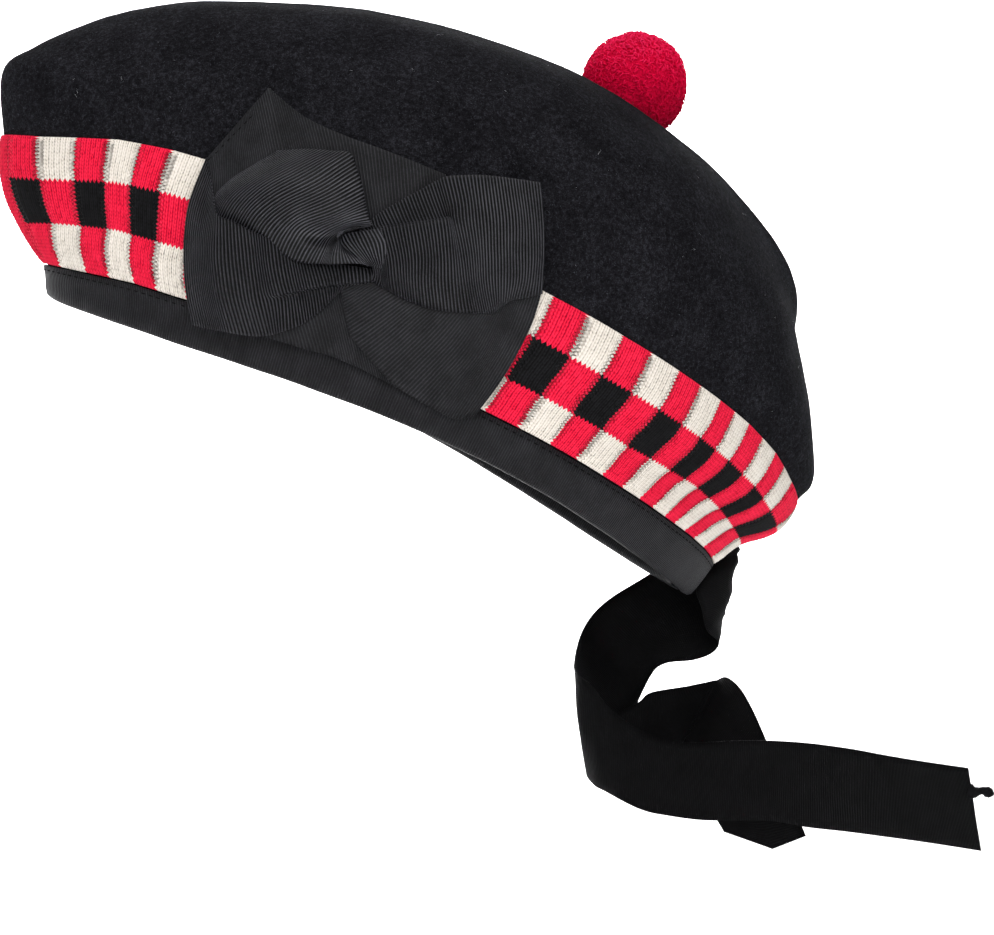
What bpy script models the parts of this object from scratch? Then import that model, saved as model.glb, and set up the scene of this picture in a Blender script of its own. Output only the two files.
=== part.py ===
import math

import bmesh
import bpy
import numpy as np
from mathutils import Matrix, Vector
from mathutils.bvhtree import BVHTree

# A glengarry: a boat-shaped wool cap with a diced knitted band, a bound rim, a ribbon cockade
# on the wearer's left, a wool toorie on top and two ribbon tails at the back.
# Lengths are in metres and angles in degrees. The cap is shaped level, with its front at -X,
# the wearer's left at -Y and the origin at the centre of the head opening. It is then tipped
# to the way it is worn. The tails hang in the tipped frame.

# Crown
RIM_LENGTH = 0.232
RIM_WIDTH = 0.136
RIM_ARCH = 0.0130
CROWN_WIDTH = 0.144
CROWN_HEIGHT = 0.133
FRONT_OVERHANG = 0.041
BACK_OVERHANG = 0.0235
RIDGE_SPACING = 0.050
VALLEY_DEPTH = 0.006
VALLEY_SETBACK = 0.018
FELT_WALL = 0.0025
CAP_TILT = 25.7

# Back vent
VENT_HEIGHT = 0.050
VENT_GAP = 0.008

# Diced band and rim binding
BAND_HEIGHT = 0.0393
KNIT_WALL = 0.0016
BINDING_HEIGHT = 0.0112
BINDING_WALL = 0.0012

# Cockade
COCKADE_WIDTH = 0.090
COCKADE_HEIGHT = 0.068
COCKADE_BACK_FROM_FRONT = 0.0717
COCKADE_ABOVE_RIM = 0.0382
COCKADE_TURN = 8.5
COCKADE_WALL = 0.0010
COCKADE_PUFF = 0.0090
PUFF_ROUNDNESS = 0.8
KNOT_LIFT = 0.45

# Toorie
TOORIE_DIAMETER = 0.035
TOORIE_FROM_BACK = 0.091
TUFT_HEIGHT = 0.0012
TUFT_EDGE = 0.96

# Tails
TAIL_WIDTH = 0.028
TAIL_WALL = 0.0010
NEAR_TAIL_REACH = 0.1066
NEAR_TAIL_DROP = 0.0940
FAR_TAIL_REACH = 0.0290
FAR_TAIL_DROP = 0.0995
TAIL_SWING = 0.042
TAIL_POINT = 0.004
TAIL_SEAT = 0.009

# Clearances
GAP = 0.0003
LAYER_GAP = 0.0006
EDGE_GAP = 0.0006
DRAPE_REACH = 0.006
STEEPEST_FACING = 0.6

# Mesh fineness
SIDE_STEPS = 30
BAND_ROWS = 3
UPPER_ROWS = 9
VALLEY_ROWS = 3
TAIL_STEPS = 44
FOLD_STEPS = 4
SHARP_ANGLE = 50

# Levels of one side wall, from the rim up to the top ridge. Forward and backward are shares
# of the overhangs, front and back rise are shares of the crown height at the two ends, side
# rise is the share of the way from the arched rim to the ridge, bulge is the share of the
# way from the rim width to the crown width, and tuck the share of the way in to the ridge.
LEVEL_COLUMNS = ("forward", "backward", "front_rise", "back_rise", "side_rise", "bulge", "tuck")
LEVELS = (
    (0.00, 0.00, 0.00, 0.00, 0.00, 0.00, 0.00),
    (0.15, 0.14, 0.07, 0.09, 0.09, 0.30, 0.00),
    (0.45, 0.38, 0.14, 0.17, 0.20, 0.55, 0.00),
    (0.66, 0.80, 0.20, 0.24, 0.30, 0.80, 0.00),
    (0.81, 0.92, 0.30, 0.33, 0.41, 1.00, 0.00),
    (1.00, 1.00, 0.43, 0.38, 0.56, 1.00, 0.00),
    (0.91, 0.72, 0.51, 0.46, 0.71, 1.00, 0.08),
    (0.74, 0.34, 0.57, 0.55, 0.84, 1.00, 0.28),
    (0.50, 0.02, 0.65, 0.63, 0.94, 1.00, 0.60),
    (0.20, -0.21, 0.72, 0.72, 1.00, 1.00, 1.00),
)
PLAN_FULLNESS = 0.66
PLAN_PEAK = 1.04
RIM_ROUNDNESS, TOP_FRONT_ROUNDNESS, TOP_BACK_ROUNDNESS = 1.10, 0.70, 0.45
RIM_PEAK, TOP_PEAK = 1.00, 1.16

# Cockade patches, as sections across each ribbon. Along and up are shares of the cockade's
# width and height from its knot, for the two ends of the section, and puff is a share of the
# puff height.
PATCH_COLUMNS = ("top_along", "top_up", "low_along", "low_up", "puff")
BACKING = (
    (-0.57, 0.19, -0.54, -0.21, 0.0),
    (-0.51, 0.37, -0.50, -0.37, 0.0),
    (-0.44, 0.55, -0.35, -0.45, 0.0),
    (-0.24, 0.45, -0.13, -0.45, 0.0),
    (-0.06, 0.45, 0.08, -0.47, 0.0),
    (0.14, 0.42, 0.24, -0.51, 0.0),
    (0.29, 0.47, 0.39, -0.53, 0.0),
    (0.44, 0.51, 0.46, -0.47, 0.0),
    (0.50, 0.30, 0.55, 0.08, 0.0),
)
LEFT_LOBE = (
    (-0.57, 0.17, -0.55, -0.21, 0.0),
    (-0.54, -0.01, -0.50, -0.38, 0.1),
    (-0.46, -0.10, -0.36, -0.45, 0.3),
    (-0.38, -0.12, -0.24, -0.42, 0.5),
    (-0.28, -0.14, -0.15, -0.33, 0.4),
    (-0.19, -0.16, -0.10, -0.24, 0.2),
    (-0.13, -0.16, -0.08, -0.20, 0.1),
)
UPPER_LOOP = (
    (-0.51, 0.08, -0.51, 0.00, 0.1),
    (-0.43, 0.21, -0.49, -0.03, 0.6),
    (-0.27, 0.35, -0.45, -0.05, 0.9),
    (-0.16, 0.36, -0.37, -0.07, 1.0),
    (-0.10, 0.26, -0.28, -0.08, 0.8),
    (-0.07, 0.16, -0.19, -0.09, 0.4),
    (-0.06, 0.08, -0.13, -0.08, 0.1),
)
RIGHT_WING = (
    (-0.03, 0.11, 0.01, -0.07, 0.1),
    (0.00, 0.22, 0.09, -0.10, 0.5),
    (0.06, 0.32, 0.18, -0.11, 0.8),
    (0.13, 0.41, 0.29, -0.09, 0.8),
    (0.25, 0.45, 0.41, -0.05, 0.6),
    (0.36, 0.48, 0.48, 0.02, 0.3),
    (0.43, 0.49, 0.53, 0.08, 0.1),
)
END_PANEL = (
    (0.01, -0.13, -0.06, -0.19, 0.1),
    (0.10, -0.16, -0.03, -0.26, 0.2),
    (0.19, -0.17, 0.00, -0.34, 0.3),
    (0.30, -0.15, 0.10, -0.42, 0.3),
    (0.42, -0.11, 0.20, -0.48, 0.2),
    (0.49, -0.03, 0.29, -0.50, 0.1),
    (0.52, 0.02, 0.41, -0.51, 0.0),
)
KNOT = (
    (-0.14, 0.01, -0.12, -0.07, 0.2),
    (-0.11, 0.06, -0.08, -0.11, 0.7),
    (-0.05, 0.10, -0.01, -0.12, 0.8),
    (0.00, 0.09, 0.03, -0.08, 0.4),
)
PATCH_STEPS = 14
PATCH_ROWS = 8

# Tail stations. Back, side and down are shares of the tail's reach, swing and drop from where
# it leaves the vent, width is a share of the ribbon's width, and the across columns give the
# direction of its width.
TAIL_COLUMNS = ("back", "side", "down", "across_x", "across_y", "across_z", "width")
NEAR_TAIL = (
    (0.00, 0.00, 0.00, 0.66, 0.00, 0.75, 0.55),
    (0.09, 0.00, 0.09, 0.93, 0.10, 0.34, 0.50),
    (0.09, 0.00, 0.20, 0.45, 0.88, 0.10, 0.62),
    (0.09, 0.01, 0.29, 0.10, 0.99, 0.05, 0.75),
    (0.01, 0.34, 0.23, -0.10, 0.50, 0.86, 0.90),
    (-0.10, 0.56, 0.24, -0.15, 0.10, 0.98, 1.00),
    (-0.22, 0.62, 0.36, -0.59, 0.00, 0.81, 1.00),
    (-0.39, 0.24, 0.49, 0.00, 0.00, 1.00, 1.00),
    (-0.37, -0.14, 0.58, 0.12, 0.00, 0.99, 1.00),
    (-0.29, -0.33, 0.66, 0.07, 0.00, 1.00, 1.00),
    (-0.12, -0.42, 0.72, 0.07, 0.00, 1.00, 1.00),
    (0.08, -0.48, 0.74, 0.04, 0.00, 1.00, 1.00),
    (0.47, -0.33, 0.83, 0.00, 0.00, 1.00, 1.00),
    (1.00, 0.10, 1.00, -0.18, 0.00, 0.98, 1.00),
)
FAR_TAIL = (
    (0.00, 0.00, 0.00, 0.66, 0.00, 0.75, 0.55),
    (0.35, 0.01, 0.05, 0.45, 0.05, 0.88, 0.52),
    (0.44, 0.29, 0.07, 0.10, 0.20, 0.97, 0.62),
    (0.17, 0.62, 0.16, -0.10, 0.10, 0.99, 0.85),
    (-0.28, 0.81, 0.29, -0.23, 0.10, 0.97, 1.00),
    (-0.45, 1.00, 0.52, -0.13, 0.00, 0.99, 1.00),
    (-0.58, 0.81, 0.64, 0.00, 0.00, 1.00, 1.00),
    (-0.36, 0.42, 0.63, 0.05, 0.00, 1.00, 1.00),
    (-0.02, 0.28, 0.60, 0.17, 0.00, 0.98, 1.00),
    (0.17, 0.24, 0.54, 0.54, 0.10, 0.84, 1.00),
    (0.50, 0.30, 0.59, 0.93, 0.00, 0.38, 1.00),
    (0.74, 0.28, 0.76, 0.98, 0.00, 0.18, 1.00),
    (1.00, 0.24, 1.00, 0.99, 0.00, -0.15, 1.00),
)


def clear_scene():
    for item in list(bpy.data.objects):
        bpy.data.objects.remove(item, do_unlink=True)


def make_material(name, colour, roughness, sheen):
    material = bpy.data.materials.new(name)
    material.use_nodes = True
    shader = material.node_tree.nodes["Principled BSDF"]
    shader.inputs["Base Color"].default_value = (*colour, 1.0)
    shader.inputs["Roughness"].default_value = roughness
    shader.inputs["Metallic"].default_value = 0.0
    shader.inputs["Sheen Weight"].default_value = sheen
    return material


def make_object(name, verts, faces, material):
    mesh = bpy.data.meshes.new(name)
    mesh.from_pydata([tuple(v) for v in verts], [], [tuple(f) for f in faces])
    work = bmesh.new()
    work.from_mesh(mesh)
    bmesh.ops.recalc_face_normals(work, faces=work.faces)
    work.to_mesh(mesh)
    work.free()
    mesh.shade_smooth()
    mesh.set_sharp_from_angle(angle=math.radians(SHARP_ANGLE))
    mesh.materials.append(material)
    item = bpy.data.objects.new(name, mesh)
    bpy.context.scene.collection.objects.link(item)
    return item


def smooth_rows(table, place):
    """The table's values at a fractional row, on a curve through all of its rows."""
    rows = np.array(table, dtype=float)
    last = len(rows) - 1
    place = min(max(place, 0.0), float(last))
    i = min(int(place), last - 1)
    f = place - i
    before = rows[max(i - 1, 0)]
    after = rows[min(i + 2, last)]
    slope_a = (rows[i + 1] - before) / (2 if i > 0 else 1)
    slope_b = (after - rows[i]) / (2 if i + 2 <= last else 1)
    return (rows[i] * (2 * f**3 - 3 * f**2 + 1) + slope_a * (f**3 - 2 * f**2 + f)
            + rows[i + 1] * (3 * f**2 - 2 * f**3) + slope_b * (f**3 - f**2))


def mix(a, b, share):
    return a + (b - a) * share


def level_row(level):
    return dict(zip(LEVEL_COLUMNS, smooth_rows(LEVELS, level)))


def level_at(height):
    """The level whose side wall is this high above the rim."""
    low, high = 0.0, float(len(LEVELS) - 1)
    halvings = 40
    for _ in range(halvings):
        middle = (low + high) / 2
        if level_row(middle)["side_rise"] * (CROWN_HEIGHT - RIM_ARCH) < height:
            low = middle
        else:
            high = middle
    return (low + high) / 2


def crown_point(row, along, side, sunk=0.0):
    """A point of the crown's outer face. Sunk runs from 0 at the ridge to 1 in the valley."""
    front_x = -RIM_LENGTH / 2 - row["forward"] * FRONT_OVERHANG + sunk * VALLEY_SETBACK
    back_x = RIM_LENGTH / 2 + row["backward"] * BACK_OVERHANG - sunk * VALLEY_SETBACK
    front_z = row["front_rise"] * CROWN_HEIGHT
    back_z = row["back_rise"] * CROWN_HEIGHT
    side_z = mix(RIM_ARCH, CROWN_HEIGHT, row["side_rise"])
    peak = mix(RIM_PEAK, TOP_PEAK, row["side_rise"])
    top_roundness = mix(TOP_FRONT_ROUNDNESS, TOP_BACK_ROUNDNESS, along)
    roundness = mix(RIM_ROUNDNESS, top_roundness, row["side_rise"])
    arch = math.sin(math.pi * along**peak) ** roundness if 0 < along < 1 else 0.0
    plan = math.sin(math.pi * along**PLAN_PEAK) ** PLAN_FULLNESS if 0 < along < 1 else 0.0
    half = mix(RIM_WIDTH, CROWN_WIDTH, row["bulge"]) / 2
    half -= row["tuck"] * (CROWN_WIDTH - RIDGE_SPACING) / 2
    z = mix(front_z, back_z, along) + (side_z - (front_z + back_z) / 2) * arch
    z -= VALLEY_DEPTH * (1 - math.cos(sunk * math.pi / 2)) * math.sqrt(plan)
    slit = VENT_GAP / 2 * (1 - (row["back_rise"] * CROWN_HEIGHT / VENT_HEIGHT) ** 2)
    edge = max(slit, 0.0) if along > 0.5 else 0.0
    y = mix(edge, half, plan) * (1 - sunk)
    return Vector((mix(front_x, back_x, along), side * y, z))


def crown_rows():
    """Level and sunk share of every row of the crown, from the rim to the valley's floor."""
    band = [level_at(BINDING_HEIGHT + BAND_HEIGHT * k / BAND_ROWS) for k in range(BAND_ROWS + 1)]
    top = float(len(LEVELS) - 1)
    upper = [mix(band[-1], top, k / UPPER_ROWS) for k in range(1, UPPER_ROWS + 1)]
    rows = [(0.0, 0.0)] + [(level, 0.0) for level in band + upper]
    return rows + [(top, k / VALLEY_ROWS) for k in range(1, VALLEY_ROWS + 1)]


def crown_grid():
    """The crown's outer face: points, faces by row, and the number of each grid point."""
    rows = crown_rows()
    steps = [0.5 - 0.5 * math.cos(math.pi * k / SIDE_STEPS) for k in range(SIDE_STEPS + 1)]
    columns = [(-1, s) for s in reversed(steps)] + [(1, s) for s in steps[1:]]
    last = len(columns) - 1
    points, index = [], []
    for level, sunk in rows:
        row = level_row(level)
        closed = row["back_rise"] * CROWN_HEIGHT >= VENT_HEIGHT or sunk > 0
        line = []
        for c, (side, along) in enumerate(columns):
            if c == last and closed:
                line.append(line[0])
            elif sunk == 1 and c > last // 2:
                line.append(line[last - c])
            else:
                points.append(crown_point(row, along, side, sunk))
                line.append(len(points) - 1)
        index.append(line)
    faces = []
    for i in range(len(rows) - 1):
        for c in range(last):
            face = (index[i][c], index[i + 1][c], index[i + 1][c + 1], index[i][c + 1])
            faces.append((i, face))
    return points, faces, index


def outward_normals(points, faces):
    """Each point's mean outward direction, lengthened at creases so that walls stay even."""
    around = [[] for _ in points]
    for _, face in faces:
        a, b, c, d = (points[k] for k in face)
        normal = (c - a).cross(d - b).normalized()
        for k in face:
            around[k].append(normal)
    result = []
    for normals in around:
        mean = sum(normals, Vector()).normalized()
        lean = sum(mean.dot(n) for n in normals) / len(normals)
        result.append(mean / max(lean, STEEPEST_FACING))
    return result


def thick_sheet(name, points, normals, faces, outer, inner, material):
    """A closed wall between two offsets of the given faces."""
    used = sorted({k for face in faces for k in face})
    place = {k: n for n, k in enumerate(used)}
    count = len(used)
    verts = [points[k] + normals[k] * outer for k in used]
    verts += [points[k] + normals[k] * inner for k in used]
    skin = [tuple(place[k] for k in face) for face in faces]
    solid = list(skin) + [tuple(k + count for k in reversed(face)) for face in skin]
    edges = {(a, b) for face in skin for a, b in zip(face, face[1:] + face[:1])}
    for a, b in edges:
        if (b, a) not in edges:
            solid.append((b, a, a + count, b + count))
    return make_object(name, verts, solid, material)


def sweep(name, loops, material):
    """A closed solid through a row of equal point loops, with flat ends."""
    size = len(loops[0])
    verts = [point for loop in loops for point in loop]
    faces = []
    for i in range(len(loops) - 1):
        for k in range(size):
            n = (k + 1) % size
            faces.append((i * size + k, i * size + n, (i + 1) * size + n, (i + 1) * size + k))
    faces.append(tuple(range(size)))
    faces.append(tuple(len(verts) - 1 - k for k in range(size)))
    return make_object(name, verts, faces, material)


def binding_loop(low, high, low_normal, high_normal):
    """The folded binding's section round the bottom edge of the felt."""
    up = (high - low).normalized()
    top = high - up * EDGE_GAP
    near, far = GAP, GAP + BINDING_WALL
    middle = low - low_normal * (FELT_WALL / 2)
    turns = [math.pi * k / FOLD_STEPS for k in range(FOLD_STEPS + 1)]
    outer_half, outer_drop = FELT_WALL / 2 + far, 2 * GAP + BINDING_WALL
    inner_half, inner_drop = FELT_WALL / 2 + near, 2 * GAP
    loop = [top + high_normal * far]
    loop += [middle + low_normal * (outer_half * math.cos(t)) - up * (outer_drop * math.sin(t))
             for t in turns]
    loop.append(top - high_normal * (FELT_WALL + far))
    loop.append(top - high_normal * (FELT_WALL + near))
    loop += [middle + low_normal * (inner_half * math.cos(t)) - up * (inner_drop * math.sin(t))
             for t in reversed(turns)]
    loop.append(top + high_normal * near)
    return loop


def make_cap(materials):
    """Crown, band and binding, and a tree of their outer faces for what lies on them."""
    points, faces, index = crown_grid()
    normals = outward_normals(points, faces)
    all_faces = [face for _, face in faces]
    band_faces = [face for i, face in faces if 1 <= i <= BAND_ROWS]
    rim_faces = [face for i, face in faces if i == 0]
    crown = thick_sheet("crown", points, normals, all_faces, 0, -FELT_WALL, materials["felt"])
    band = thick_sheet("diced_band", points, normals, band_faces, GAP + KNIT_WALL, GAP,
                       materials["knit"])
    loops = [binding_loop(points[a], points[b], normals[a], normals[b])
             for a, b in zip(index[0], index[1])]
    binding = sweep("rim_binding", loops, materials["grosgrain"])
    verts = list(points)
    polygons = list(all_faces)
    for group, lift in ((band_faces, GAP + KNIT_WALL), (rim_faces, GAP + BINDING_WALL)):
        start = len(verts)
        verts += [p + n * lift for p, n in zip(points, normals)]
        polygons += [tuple(k + start for k in face) for face in group]
    return [crown, band, binding], BVHTree.FromPolygons(verts, polygons)


def drape(tree, x, z):
    """The outermost side wall round a point, seen from the left, and its facing."""
    shares = (-1.0, -0.5, 0.0, 0.5, 1.0)
    y, facing = 0.0, 1.0
    for along, up in [(a, b) for a in shares for b in shares]:
        spot = Vector((x + along * DRAPE_REACH, -1.0, z + up * DRAPE_REACH))
        hit, normal, _, _ = tree.ray_cast(spot, Vector((0, 1, 0)))
        if hit is None:
            continue
        y = min(y, hit.y)
        facing = min(facing, max(abs(normal.y), STEEPEST_FACING))
    return y, facing


def cockade_place(along, up):
    """Turns shares of the cockade's size into a place on the side wall."""
    turn = math.radians(COCKADE_TURN)
    across, rise = along * COCKADE_WIDTH, up * COCKADE_HEIGHT
    knot_x = -RIM_LENGTH / 2 + COCKADE_BACK_FROM_FRONT
    knot_z = RIM_ARCH + COCKADE_ABOVE_RIM
    x = knot_x + across * math.cos(turn) - rise * math.sin(turn)
    z = knot_z + across * math.sin(turn) + rise * math.cos(turn)
    return x, z


def ribbon_patch(name, sections, lift, tree, material):
    """A ribbon surface on the side wall, puffed out between its edges."""
    last = len(sections) - 1
    front, back = [], []
    for i in range(PATCH_STEPS + 1):
        row = dict(zip(PATCH_COLUMNS, smooth_rows(sections, last * i / PATCH_STEPS)))
        top = cockade_place(row["top_along"], row["top_up"])
        low = cockade_place(row["low_along"], row["low_up"])
        for k in range(PATCH_ROWS + 1):
            v = k / PATCH_ROWS
            x, z = mix(top[0], low[0], v), mix(top[1], low[1], v)
            y, facing = drape(tree, x, z)
            swell = max(row["puff"], 0.0) * COCKADE_PUFF * math.sin(math.pi * v) ** PUFF_ROUNDNESS
            y -= (lift + swell) / facing
            back.append(Vector((x, y, z)))
            front.append(Vector((x, y - COCKADE_WALL / facing, z)))
    wide = PATCH_ROWS + 1
    count = len(front)
    skin = []
    for i in range(PATCH_STEPS):
        for k in range(PATCH_ROWS):
            a = i * wide + k
            skin.append((a, a + 1, a + wide + 1, a + wide))
    solid = list(skin) + [tuple(k + count for k in reversed(face)) for face in skin]
    edges = {(a, b) for face in skin for a, b in zip(face, face[1:] + face[:1])}
    for a, b in edges:
        if (b, a) not in edges:
            solid.append((b, a, a + count, b + count))
    return make_object(name, front + back, solid, material)


def make_cockade(tree, material):
    second = LAYER_GAP + COCKADE_WALL + LAYER_GAP
    third = second + COCKADE_WALL + COCKADE_PUFF * KNOT_LIFT
    patches = (
        ("cockade_backing", BACKING, LAYER_GAP),
        ("cockade_left_lobe", LEFT_LOBE, second),
        ("cockade_upper_loop", UPPER_LOOP, second),
        ("cockade_right_wing", RIGHT_WING, second),
        ("cockade_end_panel", END_PANEL, second),
        ("cockade_knot", KNOT, third),
    )
    return [ribbon_patch(name, table, lift, tree, material) for name, table, lift in patches]


def make_toorie(tree, material):
    """A tufted wool ball, flattened where it sits on the crown."""
    radius = TOORIE_DIAMETER / 2
    x = RIM_LENGTH / 2 - TOORIE_FROM_BACK
    floor = tree.ray_cast(Vector((x, 0, 1)), Vector((0, 0, -1)))[0].z
    centre = Vector((x, 0, floor + radius + GAP))
    tufts = bmesh.new()
    bmesh.ops.create_icosphere(tufts, subdivisions=2, radius=1.0)
    tips = [vert.co.copy() for vert in tufts.verts]
    tufts.free()
    work = bmesh.new()
    bmesh.ops.create_icosphere(work, subdivisions=3, radius=1.0)
    for vert in work.verts:
        nearest = max(vert.co.dot(tip) for tip in tips)
        tuft = TUFT_HEIGHT * max(0.0, (nearest - TUFT_EDGE) / (1 - TUFT_EDGE))
        vert.co = centre + vert.co * (radius - TUFT_HEIGHT + tuft)
        seat = tree.ray_cast(Vector((vert.co.x, vert.co.y, 1)), Vector((0, 0, -1)))[0]
        vert.co.z = max(vert.co.z, seat.z + 2 * GAP)
    mesh = bpy.data.meshes.new("toorie")
    work.to_mesh(mesh)
    work.free()
    mesh.shade_smooth()
    mesh.materials.append(material)
    item = bpy.data.objects.new("toorie", mesh)
    bpy.context.scene.collection.objects.link(item)
    return item


def tilt_matrix():
    return Matrix.Rotation(math.radians(CAP_TILT), 4, "Y")


def tail_start(side):
    """Where a tail leaves the vent, between the ends of the crown's wall."""
    row = level_row(level_at(TAIL_SEAT))
    outer = crown_point(row, 1.0, side)
    room = abs(outer.y) - FELT_WALL / 2 - GAP - TAIL_WALL / 2
    return tilt_matrix() @ Vector((outer.x - FELT_WALL / 2, side * room, outer.z))


def make_tail(name, side, stations, reach, drop, point, material):
    """A ribbon through its stations, gathered at the vent and cut to a blunt point."""
    start = tail_start(side)
    last = len(stations) - 1
    centres, acrosses = [], []
    for i in range(TAIL_STEPS + 1):
        row = dict(zip(TAIL_COLUMNS, smooth_rows(stations, last * i / TAIL_STEPS)))
        offset = Vector((row["back"] * reach, row["side"] * TAIL_SWING, -row["down"] * drop))
        across = Vector((row["across_x"], row["across_y"], row["across_z"])).normalized()
        centres.append(start + offset)
        acrosses.append(across * (TAIL_WIDTH / 2 * row["width"]))
    loops = []
    for i, (centre, across) in enumerate(zip(centres, acrosses)):
        ahead = centres[min(i + 1, TAIL_STEPS)] - centres[max(i - 1, 0)]
        normal = ahead.cross(across).normalized() * (TAIL_WALL / 2)
        low, high = centre - across, centre + across
        if i == TAIL_STEPS:
            centre = centre + ahead.normalized() * point
        loops.append([low - normal, centre - normal, high - normal,
                      high + normal, centre + normal, low + normal])
    return sweep(name, loops, material)


def main():
    clear_scene()
    materials = {
        "felt": make_material("black wool felt", (0.008, 0.008, 0.010), 0.95, 0.3),
        "knit": make_material("diced wool knit", (0.60, 0.02, 0.04), 0.90, 0.2),
        "grosgrain": make_material("black grosgrain", (0.016, 0.016, 0.018), 0.60, 0.1),
        "ribbon": make_material("black tail ribbon", (0.006, 0.006, 0.007), 0.65, 0.1),
        "toorie": make_material("red toorie wool", (0.65, 0.01, 0.04), 0.95, 0.3),
    }
    cap, tree = make_cap(materials)
    cap += make_cockade(tree, materials["grosgrain"])
    cap.append(make_toorie(tree, materials["toorie"]))
    for item in cap:
        item.data.transform(tilt_matrix())
    make_tail("tail_near", -1, NEAR_TAIL, NEAR_TAIL_REACH, NEAR_TAIL_DROP, 0.0,
              materials["ribbon"])
    make_tail("tail_far", 1, FAR_TAIL, FAR_TAIL_REACH, FAR_TAIL_DROP, TAIL_POINT,
              materials["ribbon"])


main()
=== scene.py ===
import math

import bmesh
import bpy
import numpy as np
from mathutils import Matrix, Vector, noise
from mathutils.bvhtree import BVHTree


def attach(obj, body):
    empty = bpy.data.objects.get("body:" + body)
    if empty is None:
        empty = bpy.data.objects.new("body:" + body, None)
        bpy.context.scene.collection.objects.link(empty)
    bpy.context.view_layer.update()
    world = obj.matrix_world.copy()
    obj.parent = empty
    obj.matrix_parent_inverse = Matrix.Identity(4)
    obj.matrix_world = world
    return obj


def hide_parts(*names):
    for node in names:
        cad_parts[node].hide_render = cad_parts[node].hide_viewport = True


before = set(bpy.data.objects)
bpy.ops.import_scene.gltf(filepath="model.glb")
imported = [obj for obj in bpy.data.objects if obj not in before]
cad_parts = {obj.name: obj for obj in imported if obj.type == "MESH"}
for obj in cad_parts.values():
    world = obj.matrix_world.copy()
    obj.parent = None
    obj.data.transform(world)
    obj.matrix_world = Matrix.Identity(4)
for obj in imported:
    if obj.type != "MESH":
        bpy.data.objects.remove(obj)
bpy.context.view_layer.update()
bpy.ops.object.select_all(action="DESELECT")
print("frame loaded")

mm = 0.001
rng = np.random.default_rng(21)

# The cap as part.py shapes it: level, front at -X, wearer's left at -Y. Then it is tipped back.
cap = {
    "rimLength": 232 * mm, "rimWidth": 136 * mm, "rimArch": 13 * mm,
    "crownWidth": 144 * mm, "crownHeight": 133 * mm,
    "frontOverhang": 41 * mm, "backOverhang": 23.5 * mm,
    "ridgeSpacing": 50 * mm, "valleyDepth": 6 * mm, "valleySetback": 18 * mm,
    "feltWall": 2.5 * mm, "tilt": 25.7,
    "ventHeight": 50 * mm, "ventGap": 8 * mm,
    "bandHeight": 39.3 * mm, "bindingHeight": 11.2 * mm,
    "planFullness": 0.66, "planPeak": 1.04,
    "rimRoundness": 1.10, "topFrontRoundness": 0.70, "topBackRoundness": 0.51,
    "rimPeak": 1.00, "topPeak": 1.16, "cornerLift": 1.0 * mm, "cornerReach": 0.012,
    "frontLift": 1.7 * mm, "frontReach": 0.16,
}
# forward, backward, front rise, back rise, side rise, bulge, tuck
capLevels = (
    (0.04, -0.13, 0.00, 0.00, 0.00, 0.00, 0.00),
    (0.13, 0.00, 0.07, 0.09, 0.09, 0.30, 0.00),
    (0.41, 0.22, 0.14, 0.17, 0.20, 0.55, 0.00),
    (0.62, 0.68, 0.20, 0.24, 0.30, 0.80, 0.00),
    (0.82, 0.90, 0.30, 0.33, 0.41, 1.00, 0.00),
    (1.02, 1.00, 0.43, 0.38, 0.56, 1.00, 0.00),
    (0.89, 0.72, 0.51, 0.46, 0.71, 1.00, 0.08),
    (0.74, 0.26, 0.57, 0.55, 0.84, 1.00, 0.28),
    (0.50, -0.11, 0.65, 0.63, 0.94, 1.00, 0.60),
    (0.20, -0.28, 0.72, 0.72, 1.00, 1.00, 1.00),
)
topLevel = len(capLevels) - 1
# how finely the cap's form is read off: levels, places along each half and how much closer they
# lie at the front, grid of the side wall, lines that a ribbon is smoothed through, and points
# that a rib or a wale takes
sampling = {"levels": 2000, "along": 700, "closer": 1.7, "wallStep": 1.5 * mm, "wallRows": 44,
            "wallColumns": 1400, "ribbonAcross": 60, "ribbonAlong": 800, "perRib": 4, "perWale": 4}
tilt = Matrix.Rotation(math.radians(cap["tilt"]), 3, "Y")
tiltRows = np.array(tilt)


def mix(a, b, share):
    return a + (b - a) * share


def unit(vectors):
    # the same directions with length one
    return vectors / np.maximum(np.linalg.norm(vectors, axis=-1, keepdims=True), 1e-9)


def outward(points):
    # directions square to a grid of points
    return unit(np.cross(np.gradient(points, axis=0), np.gradient(points, axis=1)))


def runAlong(line):
    # how far along a line each of its points lies
    return np.concatenate([[0], np.cumsum(np.linalg.norm(np.diff(line, axis=0), axis=1))])


def readRows(at, places, rows):
    # the rows of a table, read between the places where they lie
    return np.stack([np.interp(at, places, column) for column in np.array(rows, float).T], -1)


def smoothRows(table, place):
    # a curve through all rows of a table, read at fractional rows
    rows = np.array(table, float)
    last = len(rows) - 1
    place = np.clip(np.asarray(place, float), 0, last)
    i = np.minimum(place.astype(int), last - 1)
    f = (place - i)[..., None]
    slopeA = (rows[i + 1] - rows[np.maximum(i - 1, 0)]) / np.where(i > 0, 2, 1)[..., None]
    slopeB = (rows[np.minimum(i + 2, last)] - rows[i]) / np.where(i + 2 <= last, 2, 1)[..., None]
    return (rows[i] * (2 * f**3 - 3 * f**2 + 1) + slopeA * (f**3 - 2 * f**2 + f)
            + rows[i + 1] * (3 * f**2 - 2 * f**3) + slopeB * (f**3 - f**2))


def levelAt(height):
    # the level whose side wall is this high above the rim
    levels = np.linspace(0, topLevel, sampling["levels"])
    rise = smoothRows(capLevels, levels)[:, 4] * (cap["crownHeight"] - cap["rimArch"])
    return np.interp(height, rise, levels)


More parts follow.
